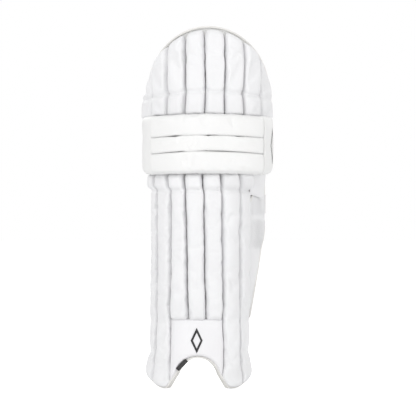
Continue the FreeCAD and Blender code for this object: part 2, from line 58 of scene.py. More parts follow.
# ---- The pad's curved layers, by height in millimetres: centre x, centre y, radius ----
SHIN_Y = 26.5
KNEE_Y = 61.5
SECTIONS = (
    (0.0, -15.0, 12.5, 112.0),
    (136.0, -15.0, SHIN_Y, 96.0),
    (395.0, -15.0, SHIN_Y, 96.0),
    (427.0, 1.0, KNEE_Y, 131.0),
    (589.0, 1.0, KNEE_Y, 131.0),
    (752.0, 3.0, KNEE_Y + 14.0, 131.0),
)
EDGE_REACH = 2.5
EDGE_SINE = 0.965
BACKING = 6.0
LINING = 6.0

INSTEP_TOP = 136.0
KNEE_CREASE = 395.0
ROLL_LEVELS = (427.0, 469.0, 503.0, 547.0)
TOP_CREASE = 589.0
SHIN_RIB_TOP = 431.0
LINING_SPLIT = 470.0

# ---- Groove lines on the front of the pad: height, then x of each groove from left to right ----
SHIN_GROOVES = (
    (20.0, (-116.0, -105.0, -73.0, -45.0, -11.0, 31.0, 69.0, 84.0)),
    (51.0, (-115.5, -102.0, -73.0, -42.0, -8.0, 33.0, 64.5, 84.0)),
    (76.0, (-109.0, -98.0, -72.0, -41.0, -6.0, 33.0, 61.5, 78.5)),
    (136.0, (-106.0, -95.0, -71.0, -36.5, -2.0, 30.5, 59.5, 79.0)),
    (250.0, (-105.0, -94.5, -69.0, -39.0, -5.0, 28.0, 59.6, 79.5)),
    (389.0, (-104.5, -94.5, -68.4, -42.0, -6.4, 26.6, 59.6, 79.5)),
    (401.0, (-110.0, -99.5, -73.0, -43.2, -8.6, 26.2, 61.0, 88.0)),
    (427.0, (-111.0, -100.0, -74.8, -43.6, -9.2, 26.0, 61.8, 90.0)),
)
PAD_EDGES = (
    (136.0, (-105.0, 78.0)),
    (389.0, (-103.5, 78.5)),
    (401.0, (-109.0, 90.0)),
    (427.0, (-113.0, 112.0)),
    (457.0, (-122.0, 123.5)),
    (547.0, (-126.0, 126.0)),
    (578.0, (-125.5, 126.0)),
    (590.0, (-119.5, 125.5)),
    (601.0, (-119.5, 125.5)),
)
TOP_GROOVES = (
    (547.0, (-129.0, -106.0, -76.5, -43.5, -4.5, 34.5, 71.0, 103.5, 129.5)),
    (578.0, (-128.0, -105.5, -75.5, -42.0, -3.5, 34.0, 70.0, 102.5, 128.5)),
    (590.0, (-120.0, -105.0, -75.5, -41.5, -3.0, 34.5, 70.0, 102.0, 127.0)),
    (650.0, (-119.0, -105.0, -75.0, -41.5, -3.5, 35.0, 70.5, 101.5, 126.0)),
    (722.0, (-119.0, -105.5, -76.5, -43.0, -5.0, 35.0, 72.0, 101.5, 126.0)),
)
FOOT_GROOVE_ENDS = (-119.0, -107.0, -73.0, -45.0, -11.0, 31.0, 69.5, 87.0)

# ---- The foot end: a round flare on each side of the arch ----
FLARE = 36.0
LEFT_FLARE_X = -83.0
RIGHT_FLARE_X = 51.0
ARCH = (-18.0, 17.7, 43.3)
ARCH_LEFT = ((-80.0, 1.0), (-60.0, 30.0))
ARCH_RIGHT = ((24.0, 30.0), (42.0, 1.0))

# ---- The dome of the top hat ----
DOME = (3.0, 592.0, 123.0, 127.5)
HAT_SIDES = (-118.5, 124.5)


def clamp(value, low, high):
    return max(low, min(high, value))


def mix(a, b, t):
    return a + (b - a) * t


def smooth(t):
    t = clamp(t, 0.0, 1.0)
    return t * t * (3 - 2 * t)


def between(rows, height):
    """Two neighbouring rows of a table and the share between them at a height."""
    for low, high in zip(rows, rows[1:]):
        if height <= high[0]:
            break
    return low, high, clamp((height - low[0]) / (high[0] - low[0]), 0.0, 1.0)


def section_at(z):
    low, high, share = between(SECTIONS, z)
    return tuple(mix(a, b, share) for a, b in zip(low[1:], high[1:]))


def pad_point(x, z, offset):
    """Place on the pad: x and z as seen from the front, offset out from the backing."""
    centre_x, centre_y, radius = section_at(z)
    sine = clamp((x - centre_x) / (radius + EDGE_REACH), -EDGE_SINE, EDGE_SINE)
    cosine = math.sqrt(1 - sine * sine)
    reach = radius + offset
    return Vector((centre_x + reach * sine, centre_y - reach * cosine, z)) * MM


def groove_x(rows, line, z):
    """x of a groove line at a height; a line between two whole numbers lies across a rib."""
    low, high, share = between(rows, z)
    left = min(int(line), len(low[1]) - 2)
    part = line - left
    bottom = mix(low[1][left], low[1][left + 1], part)
    top = mix(high[1][left], high[1][left + 1], part)
    return mix(bottom, top, smooth(share))


def edge_x(side, z):
    """x of the backing's left (0) or right (1) edge at a height."""
    low, high, share = between(PAD_EDGES, z)
    return mix(low[1][side], high[1][side], smooth(share))


def circle_drop(x, centre, radius):
    return math.sqrt(max(0.0, radius * radius - (x - centre) ** 2))


def foot_edge(x):
    """Height of the pad's lower edge at x."""
    if x < ARCH_LEFT[0][0]:
        return FLARE - circle_drop(x, LEFT_FLARE_X, FLARE)
    if x > ARCH_RIGHT[1][0]:
        return FLARE - circle_drop(x, RIGHT_FLARE_X, FLARE)
    for (x0, z0), (x1, z1) in (ARCH_LEFT, ARCH_RIGHT):
        if x0 <= x <= x1:
            return mix(z0, z1, (x - x0) / (x1 - x0))
    return ARCH[1] + circle_drop(x, ARCH[0], ARCH[2])


def dome_edge(x):
    """Height of the top hat's edge at x."""
    centre_x, centre_z, half_width, rise = DOME
    share = clamp((x - centre_x) / half_width, -1.0, 1.0)
    return centre_z + rise * math.sqrt(1 - share * share)


def foot_place(line, v, top, inset=0.0):
    """x and z of a place in the foot-to-knee sheet: line across, v up."""
    left = min(int(line), len(FOOT_GROOVE_ENDS) - 2)
    end_x = mix(FOOT_GROOVE_ENDS[left], FOOT_GROOVE_ENDS[left + 1], line - left)
    low = foot_edge(end_x) + inset
    z = mix(low, top, v)
    return mix(end_x, groove_x(SHIN_GROOVES, line, z), smooth((z - low) / 26.0)), z


# ---- Meshes ----
def settings():
    return bpy.context.scene.leg_pad


def finish_mesh(bm, name, smooth_faces=True):
    bmesh.ops.recalc_face_normals(bm, faces=bm.faces)
    mesh = bpy.data.meshes.new(name)
    for face in bm.faces:
        face.smooth = smooth_faces
    bm.to_mesh(mesh)
    bm.free()
    piece = bpy.data.objects.new(name, mesh)
    bpy.context.collection.objects.link(piece)
    return piece


def block_mesh(bm, cells, place, size=(1.0, 1.0)):
    """A box divided into cells, with every corner moved to place(u, v, w); u and v also make the UVs."""
    layer = bm.loops.layers.uv.verify()
    weight = bm.verts.layers.float.get("depth") or bm.verts.layers.float.new("depth")
    made = bmesh.ops.create_cube(bm, size=1.0)
    verts = made["verts"]
    bmesh.ops.translate(bm, verts=verts, vec=(0.5, 0.5, 0.5))
    edges = list({edge for vert in verts for edge in vert.link_edges})
    for axis, count in enumerate(cells):
        if count > 1:
            along = [e for e in edges if abs(e.verts[0].co[axis] - e.verts[1].co[axis]) > 0.5]
            cut = bmesh.ops.subdivide_edges(bm, edges=along, cuts=count - 1, use_grid_fill=True)
            edges = list(set(edges) | {g for g in cut["geom"] if isinstance(g, bmesh.types.BMEdge)})
    verts = list({vert for edge in edges for vert in edge.verts})
    faces = list({face for edge in edges for face in edge.link_faces})
    for face in faces:
        for loop in face.loops:
            co = loop.vert.co
            loop[layer].uv = (co.x * size[0], co.y * size[1])
    for vert in verts:
        vert[weight] = vert.co.z
        vert.co = place(*vert.co)
    return verts


def block(name, cells, place, size=(1.0, 1.0)):
    bm = bmesh.new()
    block_mesh(bm, cells, place, size)
    return finish_mesh(bm, name)


def soften(piece, levels=1):
    modifier = piece.modifiers.new("Soften", "SUBSURF")
    modifier.levels = levels
    modifier.render_levels = levels
    return piece


def swell(piece, pressure, most, slack=0.03, frames=14):
    """Cloth simulation: the back stays sewn down and the front is blown up, by at most `most`."""
    mesh = piece.data
    rest = [vert.co.copy() for vert in mesh.vertices]
    depth = mesh.attributes["depth"].data
    seam = piece.vertex_groups.new(name="seam")
    seam.add([i for i in range(len(rest)) if depth[i].value < 0.5], 1.0, "REPLACE")
    cloth = piece.modifiers.new("Swell", "CLOTH")
    cloth.settings.quality = 4
    cloth.settings.mass = 0.25
    cloth.settings.use_pressure = True
    cloth.settings.uniform_pressure_force = pressure
    cloth.settings.vertex_group_mass = "seam"
    cloth.settings.shrink_min = -slack
    cloth.settings.effector_weights.gravity = 0
    cloth.collision_settings.use_self_collision = False
    cloth.collision_settings.use_collision = False
    cloth.point_cache.frame_start = 1
    cloth.point_cache.frame_end = frames
    scene = bpy.context.scene
    for step in range(1, frames + 1):
        scene.frame_set(step)
    shaped = piece.evaluated_get(bpy.context.evaluated_depsgraph_get())
    moved = [vert.co.copy() for vert in shaped.data.vertices]
    piece.modifiers.remove(cloth)
    piece.vertex_groups.remove(seam)
    for vert, start, end in zip(mesh.vertices, rest, moved):
        step = end - start
        if step.length > most:
            step *= most / step.length
        vert.co = start + step
    scene.frame_set(1)


def arc_path(arcs):
    """Plan path of joined arcs (centre x, centre y, radius, first angle, last angle), by share of length."""
    lengths = [abs(math.radians(last - first)) * radius for _, _, radius, first, last in arcs]
    total = sum(lengths)

    def at(share):
        left = share * total
        for (cx, cy, radius, first, last), length in zip(arcs, lengths):
            if left <= length or (cx, cy, radius, first, last) == arcs[-1]:
                break
            left -= length
        turn = math.radians(mix(first, last, clamp(left / length, 0.0, 1.0)))
        return cx, cy, radius, turn

    return at, total


def path_point(at, share, offset, z):
    cx, cy, radius, turn = at(share)
    reach = radius + offset
    return Vector((cx + reach * math.cos(turn), cy + reach * math.sin(turn), z)) * MM


def rounded(t, power=4.0):
    """Height of a rounded-box profile at t from 0 to 1."""
    return max(0.0, 1 - abs(2 * t - 1) ** power) ** 0.5


# ---- Finishes ----
def new_group(name, inputs, outputs):
    group = bpy.data.node_groups.new(name, "ShaderNodeTree")
    for label, kind, default in inputs:
        socket = group.interface.new_socket(name=label, in_out="INPUT", socket_type=kind)
        if default is not None:
            socket.default_value = default
    for label, kind in outputs:
        group.interface.new_socket(name=label, in_out="OUTPUT", socket_type=kind)
    return group, group.nodes.new("NodeGroupInput"), group.nodes.new("NodeGroupOutput")


def math_node(tree, operation, first, second=None):
    node = tree.nodes.new("ShaderNodeMath")
    node.operation = operation
    for socket, value in zip(node.inputs, (first, second)):
        if value is None:
            continue
        if isinstance(value, bpy.types.NodeSocket):
            tree.links.new(value, socket)
        else:
            socket.default_value = value
    return node.outputs[0]


def noise_node(tree, vector, scale, detail=3.0, roughness=0.5):
    node = tree.nodes.new("ShaderNodeTexNoise")
    node.inputs["Detail"].default_value = detail
    node.inputs["Roughness"].default_value = roughness
    tree.links.new(vector, node.inputs["Vector"])
    if isinstance(scale, bpy.types.NodeSocket):
        tree.links.new(scale, node.inputs["Scale"])
    else:
        node.inputs["Scale"].default_value = scale
    return node.outputs["Fac"]


def leather_grain_group():
    """Pebbled coated-leather grain with soft, wider creasing."""
    group, inside, outside = new_group(
        "Leather grain",
        (("Vector", "NodeSocketVector", None), ("Pebble Scale", "NodeSocketFloat", 900.0)),
        (("Height", "NodeSocketFloat"), ("Tone", "NodeSocketFloat")),
    )
    vector = inside.outputs["Vector"]
    cells = group.nodes.new("ShaderNodeTexVoronoi")
    cells.feature = "SMOOTH_F1"
    group.links.new(vector, cells.inputs["Vector"])
    group.links.new(inside.outputs["Pebble Scale"], cells.inputs["Scale"])
    creases = noise_node(group, vector, 60.0, 5.0, 0.6)
    pebble = math_node(group, "MULTIPLY", cells.outputs["Distance"], -0.6)
    wide = math_node(group, "MULTIPLY", creases, 1.4)
    group.links.new(math_node(group, "ADD", pebble, wide), outside.inputs["Height"])
    group.links.new(noise_node(group, vector, 14.0, 4.0, 0.55), outside.inputs["Tone"])
    return group


def weave_group():
    """Plain over-and-under weave on the piece's own UV map."""
    group, inside, outside = new_group(
        "Plain weave",
        (("Vector", "NodeSocketVector", None), ("Threads", "NodeSocketFloat", 900.0)),
        (("Height", "NodeSocketFloat"), ("Tone", "NodeSocketFloat")),
    )
    split = group.nodes.new("ShaderNodeSeparateXYZ")
    group.links.new(inside.outputs["Vector"], split.inputs[0])
    threads = inside.outputs["Threads"]
    waves = []
    for axis in ("X", "Y"):
        turn = math_node(group, "MULTIPLY", split.outputs[axis], threads)
        turn = math_node(group, "MULTIPLY", turn, math.pi)
        waves.append(math_node(group, "SINE", turn))
    crossing = math_node(group, "MULTIPLY", waves[0], waves[1])
    group.links.new(crossing, outside.inputs["Height"])
    group.links.new(noise_node(group, inside.outputs["Vector"], 30.0, 4.0), outside.inputs["Tone"])
    return group


def soiling_group():
    """Faint handling marks: patchy and stronger near the foot."""
    group, inside, outside = new_group(
        "Soiling",
        (("Vector", "NodeSocketVector", None), ("Amount", "NodeSocketFloat", 0.1)),
        (("Mask", "NodeSocketFloat"),),
    )
    vector = inside.outputs["Vector"]
    patches = noise_node(group, vector, 9.0, 6.0, 0.62)
    patches = math_node(group, "POWER", patches, 2.2)
    split = group.nodes.new("ShaderNodeSeparateXYZ")
    group.links.new(vector, split.inputs[0])
    low = group.nodes.new("ShaderNodeMapRange")
    low.inputs["From Min"].default_value = 0.25
    low.inputs["From Max"].default_value = 0.0
    low.inputs["To Min"].default_value = 0.5
    low.inputs["To Max"].default_value = 1.3
    group.links.new(split.outputs["Z"], low.inputs["Value"])
    mask = math_node(group, "MULTIPLY", patches, low.outputs[0])
    group.links.new(math_node(group, "MULTIPLY", mask, inside.outputs["Amount"]), outside.inputs["Mask"])
    return group


def shader_group(name, maker):
    return bpy.data.node_groups.get(name) or maker()


def finish(name, colour, shade, pattern, scale, bump, roughness, depth=0.0004, soil=0.1, sheen=0.0):
    """A finish: a base colour with a second shade, a grain or weave, soft soiling and a bump."""
    material = bpy.data.materials.get(name)
    if material:
        return material
    material = bpy.data.materials.new(name)
    material.use_nodes = True
    tree = material.node_tree
    shader = tree.nodes["Principled BSDF"]
    place = tree.nodes.new("ShaderNodeTexCoord")
    effect = tree.nodes.new("ShaderNodeGroup")
    if pattern == "weave":
        effect.node_tree = shader_group("Plain weave", weave_group)
        tree.links.new(place.outputs["UV"], effect.inputs["Vector"])
        effect.inputs["Threads"].default_value = scale
    else:
        effect.node_tree = shader_group("Leather grain", leather_grain_group)
        tree.links.new(place.outputs["Object"], effect.inputs["Vector"])
        effect.inputs["Pebble Scale"].default_value = scale
    marks = tree.nodes.new("ShaderNodeGroup")
    marks.node_tree = shader_group("Soiling", soiling_group)
    marks.inputs["Amount"].default_value = soil
    tree.links.new(place.outputs["Object"], marks.inputs["Vector"])

    def mixed(first, second, factor):
        node = tree.nodes.new("ShaderNodeMix")
        node.data_type = "RGBA"
        for socket, value in ((node.inputs["A"], first), (node.inputs["B"], second)):
            if isinstance(value, bpy.types.NodeSocket):
                tree.links.new(value, socket)
            else:
                socket.default_value = (*value, 1.0)
        tree.links.new(factor, node.inputs["Factor"])
        return node.outputs["Result"]

    base = mixed(colour, shade, effect.outputs["Tone"])
    soiled = mixed(base, (0.42, 0.39, 0.33), marks.outputs["Mask"])
    tree.links.new(soiled, shader.inputs["Base Color"])
    gloss = tree.nodes.new("ShaderNodeMapRange")
    gloss.inputs["To Min"].default_value = roughness - 0.07
    gloss.inputs["To Max"].default_value = roughness + 0.09
    tree.links.new(effect.outputs["Tone"], gloss.inputs["Value"])
    tree.links.new(gloss.outputs[0], shader.inputs["Roughness"])
    relief = tree.nodes.new("ShaderNodeBump")
    relief.inputs["Strength"].default_value = bump
    relief.inputs["Distance"].default_value = depth
    tree.links.new(effect.outputs["Height"], relief.inputs["Height"])
    tree.links.new(relief.outputs["Normal"], shader.inputs["Normal"])
    shader.inputs["Sheen Weight"].default_value = sheen
    shader.inputs["Specular IOR Level"].default_value = 0.35
    return material


def tint(colour, factor):
    return tuple(channel * factor for channel in colour)


# Each finish: the setting that holds its colour, how that is tinted, how its second shade is tinted from
# it, pattern, pattern scale, bump, roughness, bump depth, soiling, sheen.
FINISHES = {
    "Rib leather": ("rib_colour", 1.0, 0.93, "grain", 800.0, 0.35, 0.5, 0.0004, 0.06, 0.0),
    "Roll leather": ("roll_colour", 1.0, 0.94, "grain", 650.0, 0.4, 0.47, 0.0004, 0.06, 0.0),
    "Instep leather": ("instep_colour", 1.0, 0.95, "grain", 900.0, 0.3, 0.42, 0.0004, 0.08, 0.0),
    "Binding tape": ("binding_colour", 1.0, 0.9, "grain", 1200.0, 0.5, 0.5, 0.0004, 0.12, 0.0),
    "Lining cloth": ("lining_colour", 1.0, 0.86, "weave", 700.0, 0.7, 0.82, 0.0005, 0.14, 0.25),
    "Backing cloth": ("lining_colour", 0.95, 0.85, "weave", 500.0, 0.8, 0.85, 0.0006, 0.14, 0.2),
    "Strap webbing": ("strap_colour", 1.0, 0.85, "weave", 420.0, 0.9, 0.7, 0.0008, 0.12, 0.15),
    "Hook tape": ("strap_colour", 0.9, 0.7, "grain", 700.0, 1.0, 0.75, 0.0012, 0.1, 0.0),
    "Loop tape": ("strap_colour", 0.97, 0.8, "grain", 1500.0, 1.0, 0.92, 0.0009, 0.12, 0.5),
    "Stitch thread": ("thread_colour", 1.0, 0.8, "grain", 2500.0, 0.6, 0.7, 0.0004, 0.1, 0.0),
}
BLACK_PRINT = ("Black print", (0.012, 0.012, 0.014), (0.03, 0.03, 0.033), "grain", 900.0, 0.3, 0.45)


def pad_finish(name):
    """A finish by name: the black print, or one of FINISHES with its colour from the settings."""
    if name == BLACK_PRINT[0]:
        return finish(*BLACK_PRINT)
    setting, lightness, shade, *rest = FINISHES[name]
    colour = tint(tuple(getattr(settings(), setting)), lightness)
    return finish(name, colour, tint(colour, shade), *rest)


def dress(piece, look):
    piece.data.materials.clear()
    piece.data.materials.append(pad_finish(look))
    return piece


def settle(piece, look, slot, body, *nodes, fill=None):
    """Finishes a piece that rides on one body and stands for the named nodes."""
    dress(piece, look)
    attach(piece, body)
    if nodes:
        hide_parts(*nodes)
    return piece


def across(piece):
    """The piece spans the crease between two sections; its placement is baked into its mesh and it rides on no
    body.
    """
    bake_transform(piece)


# ---- Stitches ----
STITCH_INSET = 3.4
STITCH_LIFT = 3.3


def stitch_row(bm, points, normals, length=2.6, gap=1.3, width=0.8):
    """Adds short raised stitches along a line of points, each tilted to the surface."""
    steps = [(b - a).length for a, b in zip(points, points[1:])]
    total = sum(steps)
    pitch = (length + gap) * MM
    for number in range(int(total / pitch)):
        reach = (number + 0.5) * pitch
        index = 0
        while index < len(steps) - 1 and reach > steps[index]:
            reach -= steps[index]
            index += 1
        along = (points[index + 1] - points[index]).normalized()
        middle = points[index] + along * reach
        up = normals[index]
        side = along.cross(up).normalized()
        made = bmesh.ops.create_uvsphere(bm, u_segments=6, v_segments=4, radius=0.5)
        for vert in made["verts"]:
            co = vert.co
            vert.co = (middle + along * co.z * length * MM + side * co.x * width * MM
                       + up * co.y * width * MM)


def stitches(name, rows):
    bm = bmesh.new()
    for points, normals in rows:
        stitch_row(bm, points, normals)
    piece = finish_mesh(bm, name)
    return dress(piece, "Stitch thread")


def surface_row(place, count=80):
    """Points and outward normals of a line given by place(t) -> (x, z, offset) on the pad's front."""
    points, normals = [], []
    for step in range(count + 1):
        x, z, offset = place(step / count)
        point = pad_point(x, z, offset)
        points.append(point)
        normals.append((pad_point(x, z, offset + 5) - point).normalized())
    return points, normals


# ---- Ribs ----
def rib_profile(u, gape):
    """Height across a rib; gape 1 leaves a wide, deep groove and 0 a tight, shallow one."""
    sizes = settings()
    edge = abs(2 * u - 1)
    squareness = mix(2.0, 1.1, gape) * sizes.rib_squareness
    floor = mix(sizes.groove_floor, 0.02, gape)
    return mix(floor, 1.0, max(0.0, 1 - edge ** squareness) ** 0.5)


def near(z, level, reach):
    return math.exp(-((z - level) / reach) ** 2)


def pinched(u, share, amount):
    """Narrows a rib's rounded end; share is 0 at its tip and 1 where it is full."""
    return 0.5 + (u - 0.5) * (1 - amount * (1 - clamp(share, 0.0, 1.0)) ** 2)


def rib_crest(width):
    sizes = settings()
    return min(sizes.rib_height / MM, 0.5 * width)


def dip(z, level, depth, reach):
    return 1 - depth * near(z, level, reach)


def shin_rib(index):
    """One shin rib, from the foot or the instep up under the knee roll."""
    short = index in (2, 3, 4)
    width = groove_x(SHIN_GROOVES, index + 1, 250) - groove_x(SHIN_GROOVES, index, 250)
    seed = Vector((index * 7.3, 1.7, 0.0))
    sizes = settings()

    def place(u, v, w):
        edge = abs(2 * u - 1)
        if short:
            z = mix(INSTEP_TOP - 1 + 3.0 * edge ** 4, SHIN_RIB_TOP, v)
            end = clamp((z - INSTEP_TOP + 1) / 12.0, 0.0, 1.0)
            line = index + pinched(u, end, 0.1)
            x = groove_x(SHIN_GROOVES, line, z)
            foot = near(z, INSTEP_TOP, 22.0)
        else:
            line = index + u
            x, z = foot_place(line, v, SHIN_RIB_TOP, 4.0)
            low = z - foot_edge(x)
            end = clamp(low / 14.0, 0.0, 1.0)
            foot = 0.35 * near(z, 20.0, 30.0)
        gape = clamp(0.25 + foot + 0.9 * smooth((z - 386) / 12.0) + 0.3 * near(z, 300, 60), 0.0, 1.0)
        crest = rib_crest(max(width, 26.0))
        crest *= mix(0.62, 1.0, smooth(z / INSTEP_TOP))
        crest *= mix(0.3, 1.0, math.sqrt(1 - (1 - end) ** 2))
        above = smooth((z - KNEE_CREASE + 2) / 6.0)
        crest *= (1 + 0.2 * above) * dip(z, KNEE_CREASE - 1.5 + 2.5 * edge ** 3, 0.46, 3.0)
        crest *= mix(0.04, 1.0, smooth((roll_level(0, x) + 4.0 - z) / 5.0))
        wander = noise.noise(seed + Vector((u * 0.8, 0, z * 0.012))) * 1.1
        ripple = noise.noise(seed + Vector((u * 2.0, 4.0, z * 0.06))) * 0.35
        offset = w * (crest * rib_profile(u, gape) + (wander + ripple) * (1 - edge))
        return pad_point(x, z, offset)

    rows = 62 if short else 88
    piece = block("shin_rib_%d_cover" % (index + 1), (12, rows, 1), place, (width * MM, 0.4))
    swell(piece, sizes.rib_pressure, 2.2 * MM)
    soften(piece)
    dress(piece, "Rib leather")
    across(piece)
    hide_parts("shin_rib_%d" % (index + 1), "lower_knee_ribs")


def top_rib(index):
    """One rib from the knee roll to the dome of the top hat."""
    width = groove_x(TOP_GROOVES, index + 1, 592) - groove_x(TOP_GROOVES, index, 592)
    seed = Vector((index * 5.9, 8.1, 3.0))
    edge_rib = index in (0, 7)

    def place(u, v, w):
        edge = abs(2 * u - 1)
        top_x = groove_x(TOP_GROOVES, index + u, 722)
        high = dome_edge(top_x) - settings().rib_top_inset / MM - 3.0 * edge ** 4
        z = mix(ROLL_LEVELS[-1] - 15, high, v)
        line = index + pinched(u, (high - z) / 20.0, 0.14)
        x = groove_x(TOP_GROOVES, line, z)
        gape = clamp(0.1 + near(z, TOP_CREASE - 6, 20.0) + near(z, ROLL_LEVELS[-1], 22.0)
                     + near(z, high, 42.0), 0.0, 1.0)
        crest = rib_crest(max(width, 24.0)) * (0.8 if edge_rib else 1.0)
        end = clamp((high - z) / 16.0, 0.0, 1.0)
        crest *= mix(0.12, 1.0, math.sqrt(1 - (1 - end) ** 2))
        crest *= mix(0.04, 1.0, smooth((z - roll_level(3, x) + 4.0) / 5.0))
        crest *= dip(z, TOP_CREASE + 1.5 * edge - 0.012 * (x - 3) ** 2 / 12, 0.34, 4.5)
        wander = noise.noise(seed + Vector((u * 0.9, 0, z * 0.02))) * 1.3
        ripple = noise.noise(seed + Vector((u * 2.0, 4.0, z * 0.06))) * 0.4
        offset = w * (crest * rib_profile(u, gape) + (wander + ripple) * (1 - edge))
        return pad_point(x, z, offset)

    piece = block("top_rib_%d_cover" % (index + 1), (12, 48, 1), place, (width * MM, 0.17))
    swell(piece, settings().rib_pressure, 2.2 * MM)
    soften(piece)
    dress(piece, "Rib leather")
    across(piece)
    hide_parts("top_rib_%d" % (index + 1), "upper_knee_ribs")


# ---- Knee roll ----
ROLL_BASE = 0.5
ROLL_HALF_X = 113.0
ROLL_CREST = 39.5
ROLL_SEAMS = (424.5, 469.0, 500.5, 545.5)
ROLL_ARCHES = (0.0, 4.2, 3.8, 5.0)
ROLL_MIDDLE = 480.0
TACK_RADIUS = 5.0
ROLL_TACKS = (((-98.0, -4.0, 50.0), 527.0), ((-96.0, 94.0), 486.0), ((-44.0, 50.0), 449.0))


def roll_level(level, x):
    """Height of a seam of the knee roll at x: the upper ones arch over the knee."""
    return ROLL_SEAMS[level] - ROLL_ARCHES[level] * (x / ROLL_HALF_X) ** 2


def tack_dent(x, z):
    dent = 0.0
    for places, level in ROLL_TACKS:
        for tack in places:
            distance = math.hypot(x - tack, (z - level) * 1.2)
            dent += math.exp(-(distance / TACK_RADIUS) ** 2)
    return dent


def knee_roll_bar(name, level, shows):
    seed = Vector((level * 9.1, 2.2, 5.0))

    def place(u, v, w):
        x = mix(-ROLL_HALF_X, ROLL_HALF_X, u)
        low, high = roll_level(level, x), roll_level(level + 1, x)
        z = mix(low - 0.3 * (level > 0), high + 0.3 * (level < 2), v)
        bulge = mix(0.9, 1.0, rounded(v, 5.0))
        if (level == 0 and v < 0.5) or (level == 2 and v > 0.5):
            bulge = mix(0.55, 1.0, rounded(v, 4.0))
        wander = noise.noise(seed + Vector((x * 0.018, 0, v * 1.5))) * 1.6
        pucker = noise.noise(seed + Vector((x * 0.09, 3.0, v * 2.0))) * 0.5
        depth = ROLL_CREST * bulge + (wander + pucker) * rounded(v, 3.4) - 1.6 * tack_dent(x, z)
        depth = mix(ROLL_BASE, depth, w)
        centre_x, centre_y, radius = section_at(ROLL_MIDDLE)
        turn = math.asin((x - centre_x) / (radius + ROLL_CREST))
        reach = radius + depth
        return Vector((centre_x + reach * math.sin(turn), centre_y - reach * math.cos(turn), z)) * MM

    piece = block(name + "_cover", (84, 14, 2), place, (0.24, 0.045))
    swell(piece, settings().roll_pressure, 2.0 * MM, 0.02)
    settle(soften(piece), "Roll leather", "roll_leather", "knee", *shows, fill=0.85)


def knee_roll_end(side, name, node):
    centre_x, centre_y, radius = section_at(ROLL_MIDDLE)
    seam = math.degrees(math.asin(ROLL_HALF_X / (radius + ROLL_CREST)))
    reach = radius + ROLL_CREST - 1.0
    start_x = reach * math.sin(math.radians(seam))
    start_y = centre_y - reach * math.cos(math.radians(seam))
    shoulder, turn_y, corner = 130.5, -8.0, 7.0
    rise = turn_y - start_y
    bow = ((shoulder - start_x) ** 2 + rise ** 2) / (2 * (shoulder - start_x))
    first = math.degrees(math.atan2(-rise, start_x - shoulder + bow))
    at, total = arc_path(((shoulder - bow, turn_y, bow, first, 0.0), (shoulder - corner, turn_y, corner, 0, 80)))

    def place(u, v, w):
        outer = path_point(at, u, 0.0, 0.0) / MM
        back = math.radians(mix(seam, 66.5, u))
        inner = Vector(((radius + 0.5) * math.sin(back), centre_y - (radius + 0.5) * math.cos(back), 0))
        low, high = roll_level(0, ROLL_HALF_X), roll_level(3, ROLL_HALF_X)
        bend = clamp((u - 0.2) / 0.8, 0.0, 1.0)
        trim = 1 - math.sqrt(1 - bend ** 2)
        z = mix(low + 24.0 * trim, high - 4.0 * trim, v)
        bulge = mix(0.72, 1.0, rounded(v, 7.0)) * mix(0.97, 1.0, rounded(max(u, 0.03), 12.0))
        flat = inner.lerp(outer, mix(0.0, bulge, w))
        return Vector((centre_x + side * flat.x, flat.y, z)) * MM

    if side > 0:
        lozenge("roll_end_lozenge", "knee",
                lambda x, z, lift: path_point(at, (41.0 + x) / total, 1.0 + lift, 482.0 + z), 13, 36, 8)
    piece = block(name + "_cover", (18, 30, 2), place, (total * MM, 0.12))
    swell(piece, settings().roll_pressure, 0.9 * MM, 0.02)
    settle(soften(piece), "Roll leather", "roll_leather", "knee", node, fill=0.8)


# ---- Sheets behind the ribs ----
def channel(x, pitch, depth):
    """Quilted channels on the lining."""
    return depth * abs(math.sin(math.pi * x / pitch)) ** 0.6


def lower_sheet(name, inner, outer, quilt, material, nodes):
    def place(u, v, w):
        x, z = foot_place(7 * u, v, LINING_SPLIT, 3.5)
        edges = edge_x(0, z) - 0.5, edge_x(1, z) + 0.5
        x = mix(x, mix(*edges, u), smooth((z - INSTEP_TOP) / 60.0))
        puff = channel(7 * u, 1.0, quilt) if quilt else 0.0
        return pad_point(x, z, mix(inner - puff, outer, w))

    piece = block(name, (56, 96, 1), place, (0.3, 0.47))
    soften(piece)
    dress(piece, material)
    across(piece)
    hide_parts(*nodes)
    return piece


def upper_sheet(name, inner, outer, quilt, material, nodes):
    def place(u, v, w):
        top_x = mix(*HAT_SIDES, u)
        high = dome_edge(top_x) - 3.0
        z = mix(LINING_SPLIT, high, v)
        edges = edge_x(0, z) - 0.5, edge_x(1, z) + 0.5
        x = mix(mix(*edges, u), top_x, smooth((z - 575) / 25.0))
        puff = channel(6 * u, 1.0, quilt) if quilt else 0.0
        return pad_point(x, z, mix(inner - puff, outer, w))

    piece = block(name, (48, 50, 1), place, (0.3, 0.25))
    soften(piece)
    dress(piece, material)
    across(piece)
    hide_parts(*nodes)
    return piece


# ---- Bindings ----
def edge_tape(name, place_xz, cells, width, inner, outer, length):
    """Folded tape along an edge: place_xz(t) gives a front-view point and its inward direction."""
    def place(u, v, w):
        (x, z), (inward_x, inward_z) = place_xz(u)
        bite = width * (1 - v)
        side = 1.2 * (1 - rounded(v, 4.0))
        offset = mix(inner + side, outer - side, w)
        return pad_point(x + inward_x * bite, z + inward_z * bite, offset)

    piece = block(name, (cells, 4, 4), place, (length, 0.02))
    soften(piece)
    return dress(piece, "Binding tape")


